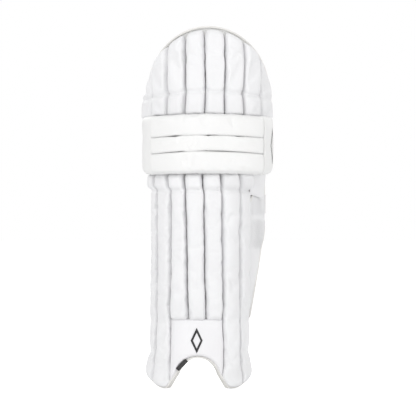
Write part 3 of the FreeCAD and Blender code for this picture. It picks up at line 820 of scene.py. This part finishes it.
def line_place(points):
    """Front-view line through points, with the inward normal on its left."""
    lengths = [math.dist(a, b) for a, b in zip(points, points[1:])]
    total = sum(lengths)

    def at(t):
        left = t * total
        for index, length in enumerate(lengths):
            if left <= length or index == len(lengths) - 1:
                break
            left -= length
        (x0, z0), (x1, z1) = points[index], points[index + 1]
        share = clamp(left / length, 0.0, 1.0)
        before = points[max(0, index - 1)]
        after = points[min(len(points) - 1, index + 2)]
        run = mix(x1 - before[0], after[0] - x0, share), mix(z1 - before[1], after[1] - z0, share)
        size = math.hypot(*run) or 1.0
        return (mix(x0, x1, share), mix(z0, z1, share)), (-run[1] / size, run[0] / size)

    return at, total


def foot_line():
    """The foot end's edge from the left ankle round both flares to the right ankle."""
    points = [(groove_x(SHIN_GROOVES, 0, z) + 1.0, z) for z in (140, 116, 96, 76, 62, 50)]
    points += [(LEFT_FLARE_X - FLARE * math.cos(a), FLARE + 1 - FLARE * math.sin(a))
               for a in (math.radians(d) for d in range(-5, 90, 8))]
    points += [(-80.5, 1.5), (-75, 8), (-70, 15.5), (-65, 23)]
    points += [(ARCH[0] - ARCH[2] * math.cos(a), ARCH[1] + ARCH[2] * math.sin(a))
               for a in (math.radians(d) for d in range(17, 165, 7))]
    points += [(28, 23), (33, 15.5), (38, 8), (42.5, 1.8)]
    points += [(RIGHT_FLARE_X + FLARE * math.sin(a), FLARE + 1 - FLARE * math.cos(a))
               for a in (math.radians(d) for d in range(0, 96, 8))]
    points += [(groove_x(SHIN_GROOVES, 7, z) - 1.0, z) for z in (50, 62, 76, 96, 116, 140)]
    return points


def dome_line():
    """The dome's edge from its left foot over the top to the right."""
    centre_x, centre_z, half_width, rise = DOME
    turns = [math.radians(d) for d in range(4, 178, 4)]
    return [(centre_x - half_width * math.cos(a), centre_z + rise * math.sin(a)) for a in turns]


# ---- Wing ----
WING_FRONT = (22.0, SHIN_Y + 35.0, 95.0)
WING_START = -48.5
WING_TURN = -10.0
WING_REAR_RADIUS = 48.0
WING_END = 56.0
WING_THICKNESS = 9.0


def wing_rear():
    turn = math.radians(WING_TURN)
    reach = WING_FRONT[2] - WING_REAR_RADIUS
    return (WING_FRONT[0] + reach * math.cos(turn), WING_FRONT[1] + reach * math.sin(turn), WING_REAR_RADIUS)


def wing_path():
    rear = wing_rear()
    return arc_path(((*WING_FRONT, WING_START, WING_TURN), (*rear, WING_TURN, WING_END)))


WING_REAR_EDGE = ((138.0, 0.02), (176.0, 0.1), (226.0, 0.22), (276.0, 0.36), (318.0, 0.6), (344.0, 1.0))


def wing_low(share):
    """Height of the wing's lower rear edge at a share of its length."""
    for (z0, s0), (z1, s1) in zip(WING_REAR_EDGE, WING_REAR_EDGE[1:]):
        if share <= s1:
            return mix(z0, z1, clamp((share - s0) / (s1 - s0), 0.0, 1.0))
    return WING_REAR_EDGE[-1][0]


def wing_high(share):
    ear = 35.0 * smooth((share - 0.1) / 0.24) * smooth((0.72 - share) / 0.27)
    corners = 12.0 * clamp((share - 0.86) / 0.14, 0.0, 1.0) ** 2 + 18.0 * clamp(1 - share / 0.13, 0.0, 1.0) ** 2
    return mix(388.5, 380.0, share) + ear - corners


def emboss(distance, z):
    """Raised pattern on the wing: slanting cords below, a finer chevron above."""
    cords = 0.5 + 0.5 * math.sin(2 * math.pi * (z * 0.8 + distance * 0.75) / 6.0)
    cord_mask = smooth((z - 276) / 6.0) * smooth((336 - z) / 6.0)
    fold = abs((distance % 14.0) - 7.0)
    fine = 0.5 + 0.5 * math.sin(2 * math.pi * (z + fold) / 3.4)
    fine_mask = smooth((z - 344) / 3.0) * smooth((378 - z) / 3.0)
    reach = smooth((distance - 3.0) / 3.0)
    return (1.25 * cords * cord_mask + 0.6 * fine * fine_mask) * reach


def wing_sheet(name, deep, shallow, cells, puff, material, slot, pattern):
    at, total = wing_path()

    def place(u, v, w):
        share = u * 0.975
        low, high = wing_low(share) + 2.5, wing_high(share) - 2.0
        z = mix(low, high, v)
        crown = rounded(u, 8.0) * rounded(v, 8.0)
        top = shallow + puff * (1 - crown)
        if pattern:
            top -= emboss(share * total, z) * crown
            top -= 0.9 * noise.noise(Vector((share * 3.0, 2.0, z * 0.02)))
        return path_point(at, share, -mix(deep, top, w), z)

    piece = block(name, cells, place, (total * MM, 0.25))
    return settle(piece, material, slot, "wing")


WING_TOP_SHARES = (
    0.985, 0.95, 0.9, 0.84, 0.76, 0.7, 0.66, 0.62, 0.58, 0.54, 0.5, 0.46, 0.42,
    0.38, 0.34, 0.3, 0.26, 0.22, 0.18, 0.14, 0.1, 0.07, 0.04, 0.02, 0.0,
)


def wing_tape():
    at, total = wing_path()
    knots = [(s, wing_low(s)) for s in (0.0, 0.03, 0.1, 0.16, 0.22, 0.29, 0.36, 0.48, 0.6, 0.72, 0.86, 0.96)]
    knots += [(0.985, 346), (0.996, 353), (0.998, 361)]
    knots += [(share, wing_high(share) + 0.5) for share in WING_TOP_SHARES]
    along, length = line_place([(share * total, z) for share, z in knots])

    def place(u, v, w):
        (distance, z), (inward_s, inward_z) = along(u)
        bite = 4.5 * (1 - v)
        side = 0.9 * (1 - rounded(v, 4.0))
        share = clamp((distance + inward_s * bite) / total, 0.0, 1.0)
        return path_point(at, share, mix(-WING_THICKNESS + side, 0.9 - side, w), z + inward_z * bite)

    piece = block("wing_tape", (150, 3, 4), place, (length * MM, 0.02))
    settle(soften(piece), "Binding tape", "binding_tape", "wing", "wing_binding")


# ---- Straps ----
CORNER = 44.0
BAND = 2.5
HOOK = 1.2
GAP = 0.3
STRAP_WIDTH = 42.0


def corner_centre(section, side):
    x, y, radius = section
    reach = radius - BACKING - LINING - CORNER
    turn = math.radians(60.0 * side)
    return (x + reach * math.sin(turn), y - reach * math.cos(turn))


def rear_centre(left, left_radius, right, right_radius, rear_radius):
    across_x, back = right[0] - left[0], right[1] - left[1]
    span = math.hypot(across_x, back)
    from_left, from_right = rear_radius - left_radius, rear_radius - right_radius
    along = (from_left ** 2 - from_right ** 2 + span ** 2) / (2 * span)
    drop = math.sqrt(from_left ** 2 - along ** 2)
    unit_x, unit_y = across_x / span, back / span
    return (left[0] + along * unit_x + drop * unit_y, left[1] + along * unit_y - drop * unit_x)


def heading(origin, target):
    return math.degrees(math.atan2(target[1] - origin[1], target[0] - origin[0]))


def strap_block(name, arcs, inner, outer, low, high, cells, crown=0.0):
    """A strip along a plan path, `inner` to `outer` from it, between two heights."""
    at, total = arc_path(arcs)

    def place(u, v, w):
        round_end = 6.0 * (1 - math.sqrt(max(0.0, 1 - (1 - clamp(u * total / 8.0, 0, 1)) ** 2)))
        far_end = 6.0 * (1 - math.sqrt(max(0.0, 1 - (1 - clamp((1 - u) * total / 8.0, 0, 1)) ** 2)))
        trim = (round_end + far_end) * (1.0 if crown else 0.5)
        z = mix(low + trim, high - trim, v)
        puff = crown * (rounded(v, 3.0) - 1) * 0.5
        return path_point(at, u, mix(inner - puff, outer + puff, w), z)

    return block(name, cells, place, (total * MM, (high - low) * MM))


def build_strap(name, body, section, middle, right, right_radius, rear_radius, tip, lap_end):
    low, high = middle - STRAP_WIDTH / 2, middle + STRAP_WIDTH / 2
    left = corner_centre(section, -1)
    left_radius = CORNER - GAP
    rear = rear_centre(left, left_radius, right, right_radius, rear_radius)
    left_turn, right_turn = heading(rear, left), heading(rear, right)
    arcs = (
        (*right, right_radius, tip, right_turn),
        (*rear, rear_radius, right_turn, left_turn),
        (*left, left_radius, left_turn, 177),
    )
    band = strap_block(name + "_webbing", arcs, -BAND, 0.0, low, high, (150, 8, 2))
    settle(soften(band), "Strap webbing", "webbing", body, name + "_band")

    at, total = arc_path(((*rear, rear_radius, right_turn + 2, left_turn - 2),))

    def place(u, v, w):
        z = mix(low - 2, high + 2, v)
        quilt = abs(math.sin(math.pi * u * round(total / 18.0))) ** 0.5
        puff = rounded(v, 3.5) * mix(0.55, 1.0, quilt) * rounded(u, 12.0)
        return path_point(at, u, -BAND - GAP - mix(0.8, 5.0 * max(0.25, puff), w), z)

    sleeve = block(name + "_padding", (108, 10, 1), place, (total * MM, 0.046))
    settle(soften(sleeve), "Lining cloth", "lining_fabric", body, name + "_sleeve", fill=0.6)

    hook_arc = ((*right, right_radius - BAND - GAP, tip + 1, lap_end),)
    hook = strap_block(name + "_hooks", hook_arc, -HOOK, 0.0, low + 2, high - 2, (14, 10, 1))
    settle(hook, "Hook tape", "hook_tape", body, name + "_hook_tab")

    rows = []
    for z in (low + 3.5, high - 3.5):
        rows.append(path_row(arcs, 0.3, z, z, 0.0, 0.16))
        rows.append(path_row(arcs, 0.3, z, z, 0.9, 0.995))
    for share in (0.012, 0.15, 0.905):
        rows.append(path_row(arcs, 0.3, low + 3.5, high - 3.5, share, share))
    thread = stitches(name + "_stitching", rows)
    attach(thread, body)
    return left, left_radius, low, high


def path_row(arcs, offset, z0, z1, first, last, count=40):
    at, _ = arc_path(arcs)
    points, normals = [], []
    for step in range(count + 1):
        share = mix(first, last, step / count)
        z = mix(z0, z1, step / count)
        point = path_point(at, share, offset, z)
        points.append(point)
        normals.append((path_point(at, share, offset + 5, z) - point).normalized())
    return points, normals


def anchor_stub(name, left, radius, low, high):
    """Sewn end of a strap, a short strip round its left corner where the strap swings open."""
    arcs = ((*left, radius, 177.6, 214),)
    return strap_block(name, arcs, -BAND, 0.0, low, high, (40, 8, 2))


# ---- Settings ----
def colour_setting(name, description, default):
    return bpy.props.FloatVectorProperty(
        name=name, description=description, default=default, subtype="COLOR", min=0.0, max=1.0)


class LegPadSettings(bpy.types.PropertyGroup):
    rib_height: bpy.props.FloatProperty(
        name="Rib height", description="How far the widest ribs stand off the backing",
        default=0.0155, unit="LENGTH")
    rib_squareness: bpy.props.FloatProperty(
        name="Rib squareness", description="Higher values give flatter ribs with tighter grooves", default=3.6)
    groove_floor: bpy.props.FloatProperty(
        name="Groove floor", description="Height of a tight groove, as a share of the crest", default=0.42)
    rib_pressure: bpy.props.FloatProperty(
        name="Rib pressure", description="Pressure that fills the ribs", default=3.0)
    roll_pressure: bpy.props.FloatProperty(
        name="Roll pressure", description="Pressure that fills the knee roll", default=3.0)
    rib_top_inset: bpy.props.FloatProperty(
        name="Rib top inset", description="How far the rib tops end below the dome's edge",
        default=0.007, unit="LENGTH")
    rib_colour: colour_setting("Rib colour", "Ribs and wing", (0.83, 0.83, 0.84))
    roll_colour: colour_setting("Roll colour", "Knee roll", (0.85, 0.85, 0.845))
    instep_colour: colour_setting("Instep colour", "Instep panel", (0.84, 0.835, 0.85))
    binding_colour: colour_setting("Binding colour", "Tape on the edges", (0.81, 0.80, 0.775))
    lining_colour: colour_setting("Lining colour", "Lining and padding", (0.82, 0.82, 0.81))
    strap_colour: colour_setting("Strap colour", "Straps", (0.80, 0.80, 0.79))
    thread_colour: colour_setting("Thread colour", "Stitching", (0.78, 0.78, 0.76))


# ---- Operators ----
class LEGPAD_OT_stage(bpy.types.Operator):
    """Floor, lights and camera"""
    bl_idname = "legpad.stage"
    bl_label = "Stage"

    def execute(self, context):
        bm = bmesh.new()
        bmesh.ops.create_grid(bm, x_segments=8, y_segments=8, size=30.0)
        floor = finish_mesh(bm, "floor")
        floor.data.materials.append(floor_finish())
        for name, place, size, power in (
            ("key", (-1.3, -2.6, 2.2), 1.4, 29.0),
            ("fill", (2.2, -2.0, 0.7), 1.8, 20.0),
            ("low", (-1.6, -2.4, 0.5), 1.6, 9.0),
            ("top", (0.0, 0.2, 2.8), 1.6, 7.0),
            ("back_left", (-1.8, 2.2, 1.8), 1.6, 16.0),
            ("back_right", (2.0, 2.0, 1.4), 1.6, 10.0),
        ):
            lamp = bpy.data.lights.new(name, "AREA")
            lamp.size = size
            lamp.energy = power
            light = bpy.data.objects.new(name, lamp)
            context.collection.objects.link(light)
            light.location = place
            aim = Vector((0, 0, 0.36)) - Vector(place)
            light.rotation_euler = aim.to_track_quat("-Z", "Y").to_euler()
        world = bpy.data.worlds.new("studio")
        world.use_nodes = True
        background = world.node_tree.nodes["Background"]
        background.inputs["Color"].default_value = (1.0, 1.0, 1.0, 1.0)
        rays = world.node_tree.nodes.new("ShaderNodeLightPath")
        level = world.node_tree.nodes.new("ShaderNodeMapRange")
        level.inputs["To Min"].default_value = 0.66
        level.inputs["To Max"].default_value = 1.0
        world.node_tree.links.new(rays.outputs["Is Camera Ray"], level.inputs["Value"])
        world.node_tree.links.new(level.outputs[0], background.inputs["Strength"])
        context.scene.world = world
        context.scene.view_settings.view_transform = "Standard"
        lens = bpy.data.cameras.new("camera")
        lens.lens = 300.0
        lens.sensor_width = 36.0
        camera = bpy.data.objects.new("camera", lens)
        context.collection.objects.link(camera)
        distance = 6.94
        camera.location = (0.002, -distance, 0.358)
        camera.rotation_euler = (math.radians(90), 0, 0)
        context.scene.camera = camera
        return {"FINISHED"}


def floor_finish():
    material = bpy.data.materials.new("Floor")
    material.use_nodes = True
    tree = material.node_tree
    shader = tree.nodes["Principled BSDF"]
    place = tree.nodes.new("ShaderNodeTexCoord")
    ramp = tree.nodes.new("ShaderNodeMix")
    ramp.data_type = "RGBA"
    ramp.inputs["A"].default_value = (0.93, 0.93, 0.93, 1)
    ramp.inputs["B"].default_value = (0.9, 0.9, 0.9, 1)
    tree.links.new(noise_node(tree, place.outputs["Object"], 3.0), ramp.inputs["Factor"])
    tree.links.new(ramp.outputs["Result"], shader.inputs["Base Color"])
    shader.inputs["Roughness"].default_value = 0.9
    shader.inputs["Emission Color"].default_value = (1, 1, 1, 1)
    rays = tree.nodes.new("ShaderNodeLightPath")
    glow = tree.nodes.new("ShaderNodeMapRange")
    glow.inputs["To Max"].default_value = 0.5
    tree.links.new(rays.outputs["Is Camera Ray"], glow.inputs["Value"])
    tree.links.new(glow.outputs[0], shader.inputs["Emission Strength"])
    return material


class LEGPAD_OT_ribs(bpy.types.Operator):
    """Seven shin ribs and eight top ribs, each running on past its crease"""
    bl_idname = "legpad.ribs"
    bl_label = "Ribs"

    def execute(self, context):
        for index in range(7):
            shin_rib(index)
        for index in range(8):
            top_rib(index)
        return {"FINISHED"}


class LEGPAD_OT_knee_roll(bpy.types.Operator):
    """Three padded bars and their end panels"""
    bl_idname = "legpad.knee_roll"
    bl_label = "Knee roll"

    def execute(self, context):
        knee_roll_bar("knee_roll_bottom", 0, ("knee_roll_bottom", "knee_roll_foams"))
        knee_roll_bar("knee_roll_middle", 1, ("knee_roll_middle",))
        knee_roll_bar("knee_roll_top", 2, ("knee_roll_top",))
        knee_roll_end(-1, "left_end", "knee_roll_left_end")
        knee_roll_end(1, "right_end", "knee_roll_right_end")
        return {"FINISHED"}


class LEGPAD_OT_sheets(bpy.types.Operator):
    """Backing cloth and quilted lining, in a lower and an upper half"""
    bl_idname = "legpad.sheets"
    bl_label = "Backing and lining"

    def execute(self, context):
        lower_sheet("lower_backing", -5.9, 0.1, 0.0, "Backing cloth",
                    ("shin_backing", "knee_backing", "shin_canes"))
        upper_sheet("upper_backing", -5.9, 0.1, 0.0, "Backing cloth",
                    ("top_backing", "knee_backing", "top_canes"))
        lower = lower_sheet("lower_lining", -7.6, -6.0, 4.4, "Lining cloth",
                            ("shin_lining", "knee_lining"))
        upper = upper_sheet("upper_lining", -7.6, -6.0, 4.4, "Lining cloth",
                            ("top_lining", "knee_lining"))
        low_rows, high_rows = [], []
        for channel_line in range(1, 7):
            share = channel_line / 7

            def seam(t):
                z = mix(64, 385, t)
                return mix(edge_x(0, z), edge_x(1, z), share), z, -8.1

            low_rows.append(surface_row(seam))
        for channel_line in range(1, 6):
            share = channel_line / 6

            def seam(t):
                x = mix(*HAT_SIDES, share)
                return x, mix(604, dome_edge(x) - 12, t), -8.1

            high_rows.append(surface_row(seam))
        for name, rows, body in (("shin_quilting", low_rows, "shin"), ("top_quilting", high_rows, "top_hat")):
            thread = stitches(name, [(points, [-normal for normal in normals]) for points, normals in rows])
            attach(thread, body)
        return {"FINISHED"}


class LEGPAD_OT_instep(bpy.types.Operator):
    """Smooth padded panel over the instep, with a plain printed lozenge"""
    bl_idname = "legpad.instep"
    bl_label = "Instep panel"

    def execute(self, context):
        def crown(u, v):
            return 8.3 + 1.4 * rounded(u, 6.0) * rounded(v, 6.0)

        def place(u, v, w):
            x, z = foot_place(2 + 3 * u, v, INSTEP_TOP + 2, 4.0)
            edge = 1 - rounded(u, 10.0) * rounded(v, 14.0)
            return pad_point(x, z, w * (crown(u, v) - 5.0 * edge))

        panel = block("instep_panel_cover", (36, 36, 1), place, (0.11, 0.13))
        swell(panel, 2.0, 0.8 * MM, 0.01)
        settle(soften(panel), "Instep leather", "rib_leather", "shin", "instep_panel", "instep_foam", fill=0.7)
        lozenge("instep_lozenge", "shin", lambda x, z, lift: pad_point(x - 20.0, z + 96.0, 10.1 + lift), 11, 25, 8)
        return {"FINISHED"}


def lozenge(name, body, surface, half_width, half_height, stroke):
    """A plain outlined lozenge printed on a cover; surface(x, z, lift) gives its place."""
    def place(u, v, w):
        turn = 2 * math.pi * u
        reach = abs(math.cos(turn)) + abs(math.sin(turn))
        inner = 1 - stroke / half_width * 0.5
        grow = mix(inner, 1.0, v) / reach
        return surface(half_width * math.cos(turn) * grow, half_height * math.sin(turn) * grow, w * 0.9)

    piece = block(name, (64, 2, 1), place, (0.1, 0.005))
    bm = bmesh.new()
    bm.from_mesh(piece.data)
    bmesh.ops.remove_doubles(bm, verts=bm.verts, dist=1e-6)
    bm.to_mesh(piece.data)
    bm.free()
    settle(piece, "Black print", "black_tape", body)


class LEGPAD_OT_bindings(bpy.types.Operator):
    """Folded tape round the foot end, up the long edges and over the dome"""
    bl_idname = "legpad.bindings"
    bl_label = "Bindings"

    def execute(self, context):
        at, total = line_place(foot_line())
        foot = edge_tape("foot_tape", at, 240, 4.5, -LINING - BACKING - 0.8, 3.0, total * MM)
        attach(foot, "shin")
        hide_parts("foot_binding")
        at, total = line_place(dome_line()[::-1])
        dome = edge_tape("dome_tape", at, 120, 4.5, -LINING - BACKING - 0.8, 3.0, total * MM)
        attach(dome, "top_hat")
        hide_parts("top_binding")
        for side, name in ((0, "left"), (1, "right")):
            for part, bottom, top, lower, upper, crease in (
                ("edge", 132, 478, "shin", "knee", KNEE_CREASE),
                ("knee", 466, 606, "knee", "top_hat", TOP_CREASE),
            ):
                tuck = 0.0 if part == "edge" else 0.4
                line = [(edge_x(side, z), z) for z in range(bottom, top + 1, 6)]
                at, total = line_place(line if side else line[::-1])
                tape = edge_tape("%s_%s_tape" % (name, part), at, 70, 3.6, -LINING - BACKING - 0.7 + tuck,
                                 2.2 - tuck, total * MM)
                across(tape)
                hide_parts("side_bindings")
        return {"FINISHED"}


class LEGPAD_OT_tag(bpy.types.Operator):
    """Short black tape folded over the binding at the left of the arch"""
    bl_idname = "legpad.tag"
    bl_label = "Binding tag"

    def execute(self, context):
        def place(u, v, w):
            across_x, up = (u - 0.5) * 25.0, (v - 0.5) * 7.0
            x = -48.0 + across_x * 0.68 - up * 0.73
            z = 48.0 + across_x * 0.73 + up * 0.68
            return pad_point(x, z, mix(3.4, 9.6, w))

        tag = block("black_tag", (14, 5, 2), place, (0.026, 0.007))
        settle(tag, "Black print", "black_tape", "shin", "binding_tag")
        return {"FINISHED"}


class LEGPAD_OT_cushions(bpy.types.Operator):
    """Bolsters each side of the shin bone and the cushions of the knee cup"""
    bl_idname = "legpad.cushions"
    bl_label = "Inner cushions"

    def execute(self, context):
        for name, node, body, start, end, low, high, thick in (
            ("left_bolster", "shin_bolsters", "shin", -40, -14, 160, 365, 11),
            ("right_bolster", "shin_bolsters", "shin", 14, 40, 160, 365, 11),
            ("left_knee_cushion", "knee_cup_sides", "knee", -46, -24, 448, 560, 12),
            ("right_knee_cushion", "knee_cup_sides", "knee", 24, 46, 448, 560, 12),
            ("top_knee_cushion", "knee_cup_top", "knee", -22, 22, 536, 568, 10),
        ):
            cx, cy, radius = section_at((low + high) / 2)

            def place(u, v, w):
                turn = math.radians(mix(start, end, u))
                puff = thick * rounded(u, 2.6) ** 0.8 * rounded(v, 14.0 if high - low > 60 else 4.0)
                reach = radius - 12.3 - w * max(0.8, puff)
                z = mix(low, high, v)
                return Vector((cx + reach * math.sin(turn), cy - reach * math.cos(turn), z)) * MM

            piece = block(name, (12, 40, 1), place, (0.04, (high - low) * MM))
            swell(piece, 2.0, 1.2 * MM, 0.02)
            settle(soften(piece), "Lining cloth", "lining_fabric", body, node, fill=0.8)
        return {"FINISHED"}


class LEGPAD_OT_wing(bpy.types.Operator):
    """The side wing: embossed cover, foam, lining, tape, loop patch and the gusset above it"""
    bl_idname = "legpad.wing"
    bl_label = "Wing"

    def execute(self, context):
        cover = wing_sheet("wing_outer", 4.0, 0.2, (120, 150, 1), 1.4, "Rib leather", "rib_leather", True)
        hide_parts("wing_cover", "wing_foam")
        lining = wing_sheet("wing_inner", 8.8, 4.1, (40, 60, 1), 0.0, "Lining cloth", "lining_fabric", False)
        soften(lining)
        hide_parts("wing_lining")
        wing_tape()
        rear = wing_rear()
        patch_arc = ((*rear, 12, 50),)
        patch = strap_block("loop_patch", patch_arc, 0.3, 1.5, 348, 382, (20, 16, 1))
        settle(patch, "Loop tape", "loop_tape", "wing", "calf_loop_patch")
        at, _ = wing_path()

        def place(u, v, w):
            tucked = -WING_THICKNESS - 4.0 + w * 1.0
            return path_point(at, 0.48 * u, tucked, mix(mix(387, 372, u), mix(402, 410, smooth(u)), v))

        inner_flap = block("knee_gusset_flap", (30, 16, 1), place, (0.06, 0.04))
        settle(soften(inner_flap), "Lining cloth", "lining_fabric", "knee", "knee_gusset")

        def side(u, v, w):
            lift = w * (0.4 + 1.4 * rounded(u, 8.0) * rounded(v, 10.0))
            wing = path_point(at, 0.28 * u, 1.2 + 7.4 * u + lift, mix(384, 377, smooth(u)))
            turn = math.radians(mix(39.0, 61.5, u))
            centre_x, centre_y, radius = section_at(430.0)
            reach = radius + 2.0 + lift
            knee = Vector((centre_x + reach * math.sin(turn), centre_y - reach * math.cos(turn), 433.0)) * MM
            return wing.lerp(knee, v)

        gusset = block("knee_gusset_cover", (30, 26, 1), side, (0.05, 0.05))
        settle(soften(gusset), "Rib leather", "rib_leather", "knee", "knee_gusset", fill=0.5)

        def hinge(u, v, w):
            z = mix(142, 369, v)
            seam_x = groove_x(SHIN_GROOVES, 7, z) - 2.0
            front = pad_point(seam_x, z, -8.0 + w * 0.8) / MM
            back = path_point(at, 0.035, -WING_THICKNESS - 1.2 + w * 0.8, z) / MM
            return front.lerp(back, u) * MM

        strip = block("wing_hinge_strip", (6, 40, 1), hinge, (0.02, 0.24))
        soften(strip)
        dress(strip, "Binding tape")
        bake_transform(strip)
        return {"FINISHED"}


class LEGPAD_OT_straps(bpy.types.Operator):
    """Ankle, calf and knee straps with padding, hook tabs, landing tabs and stitching"""
    bl_idname = "legpad.straps"
    bl_label = "Straps"

    def execute(self, context):
        lap = GAP + HOOK + GAP + BAND
        shin = section_at(300.0)
        knee = section_at(500.0)
        stubs = {}
        for name, section, middle, rear_radius, lap_end in (
            ("ankle_strap", shin, 112.0, 90.0, 34),
            ("knee_strap", knee, 476.0, 190.0, 48),
        ):
            right = corner_centre(section, 1)
            stubs[name] = build_strap(name, name, section, middle, right, CORNER + lap, rear_radius, 3, lap_end)
            arcs = ((*right, CORNER - GAP, -32, lap_end + 2),)
            landing = strap_block(name + "_landing_tab", arcs, -BAND, 0.0, stubs[name][2], stubs[name][3],
                                  (24, 8, 2))
            body = "shin" if name == "ankle_strap" else "knee"
            settle(landing, "Loop tape", "loop_tape", body, name + "_landing")
        rear = wing_rear()
        calf_radius = WING_REAR_RADIUS + GAP + HOOK + lap
        stubs["calf_strap"] = build_strap("calf_strap", "calf_strap", shin, 366.0, rear[:2], calf_radius,
                                          150.0, 21, 52)
        for name, body, node in (
            ("ankle_strap", "shin", "shin_strap_anchors"),
            ("calf_strap", "shin", "shin_strap_anchors"),
            ("knee_strap", "knee", "knee_strap_anchor"),
        ):
            stub = anchor_stub(name + "_stub", *stubs[name])
            soften(stub)
            dress(stub, "Strap webbing")
            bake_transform(stub)
            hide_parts(node)
        return {"FINISHED"}


class LEGPAD_OT_stitching(bpy.types.Operator):
    """Stitch lines along the bindings over the dome and round the foot end"""
    bl_idname = "legpad.stitching"
    bl_label = "Stitching"

    def execute(self, context):
        for name, line, first, last, count, body in (
            ("dome_stitching", dome_line()[::-1], 0.02, 0.98, 120, "top_hat"),
            ("foot_stitching", foot_line(), 0.2, 0.8, 160, "shin"),
        ):
            at, _ = line_place(line)

            def row(t):
                (x, z), (inward_x, inward_z) = at(mix(first, last, t))
                return x + inward_x * STITCH_INSET, z + inward_z * STITCH_INSET, STITCH_LIFT

            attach(stitches(name, [surface_row(row, count)]), body)
        return {"FINISHED"}


class LEGPAD_PT_panel(bpy.types.Panel):
    """The pad's pieces, in the order in which they are made"""
    bl_idname = "LEGPAD_PT_panel"
    bl_label = "Leg Pad"
    bl_space_type = "VIEW_3D"
    bl_region_type = "UI"
    bl_category = "Leg Pad"

    def draw(self, context):
        for operator in OPERATORS:
            self.layout.operator(operator.bl_idname)
        for name in LegPadSettings.__annotations__:
            self.layout.prop(context.scene.leg_pad, name)


OPERATORS = (
    LEGPAD_OT_stage,
    LEGPAD_OT_sheets,
    LEGPAD_OT_ribs,
    LEGPAD_OT_instep,
    LEGPAD_OT_knee_roll,
    LEGPAD_OT_bindings,
    LEGPAD_OT_tag,
    LEGPAD_OT_cushions,
    LEGPAD_OT_wing,
    LEGPAD_OT_straps,
    LEGPAD_OT_stitching,
)
CLASSES = (LegPadSettings, *OPERATORS, LEGPAD_PT_panel)


def register():
    for item in CLASSES:
        bpy.utils.register_class(item)
    bpy.types.Scene.leg_pad = bpy.props.PointerProperty(type=LegPadSettings)


def unregister():
    del bpy.types.Scene.leg_pad
    for item in reversed(CLASSES):
        bpy.utils.unregister_class(item)


def main():
    register()
    bpy.ops.legpad.stage()
    bpy.ops.legpad.sheets()
    bpy.ops.legpad.ribs()
    bpy.ops.legpad.instep()
    bpy.ops.legpad.knee_roll()
    bpy.ops.legpad.bindings()
    bpy.ops.legpad.tag()
    bpy.ops.legpad.cushions()
    bpy.ops.legpad.wing()
    bpy.ops.legpad.straps()
    bpy.ops.legpad.stitching()


if __name__ == "__main__":
    main()
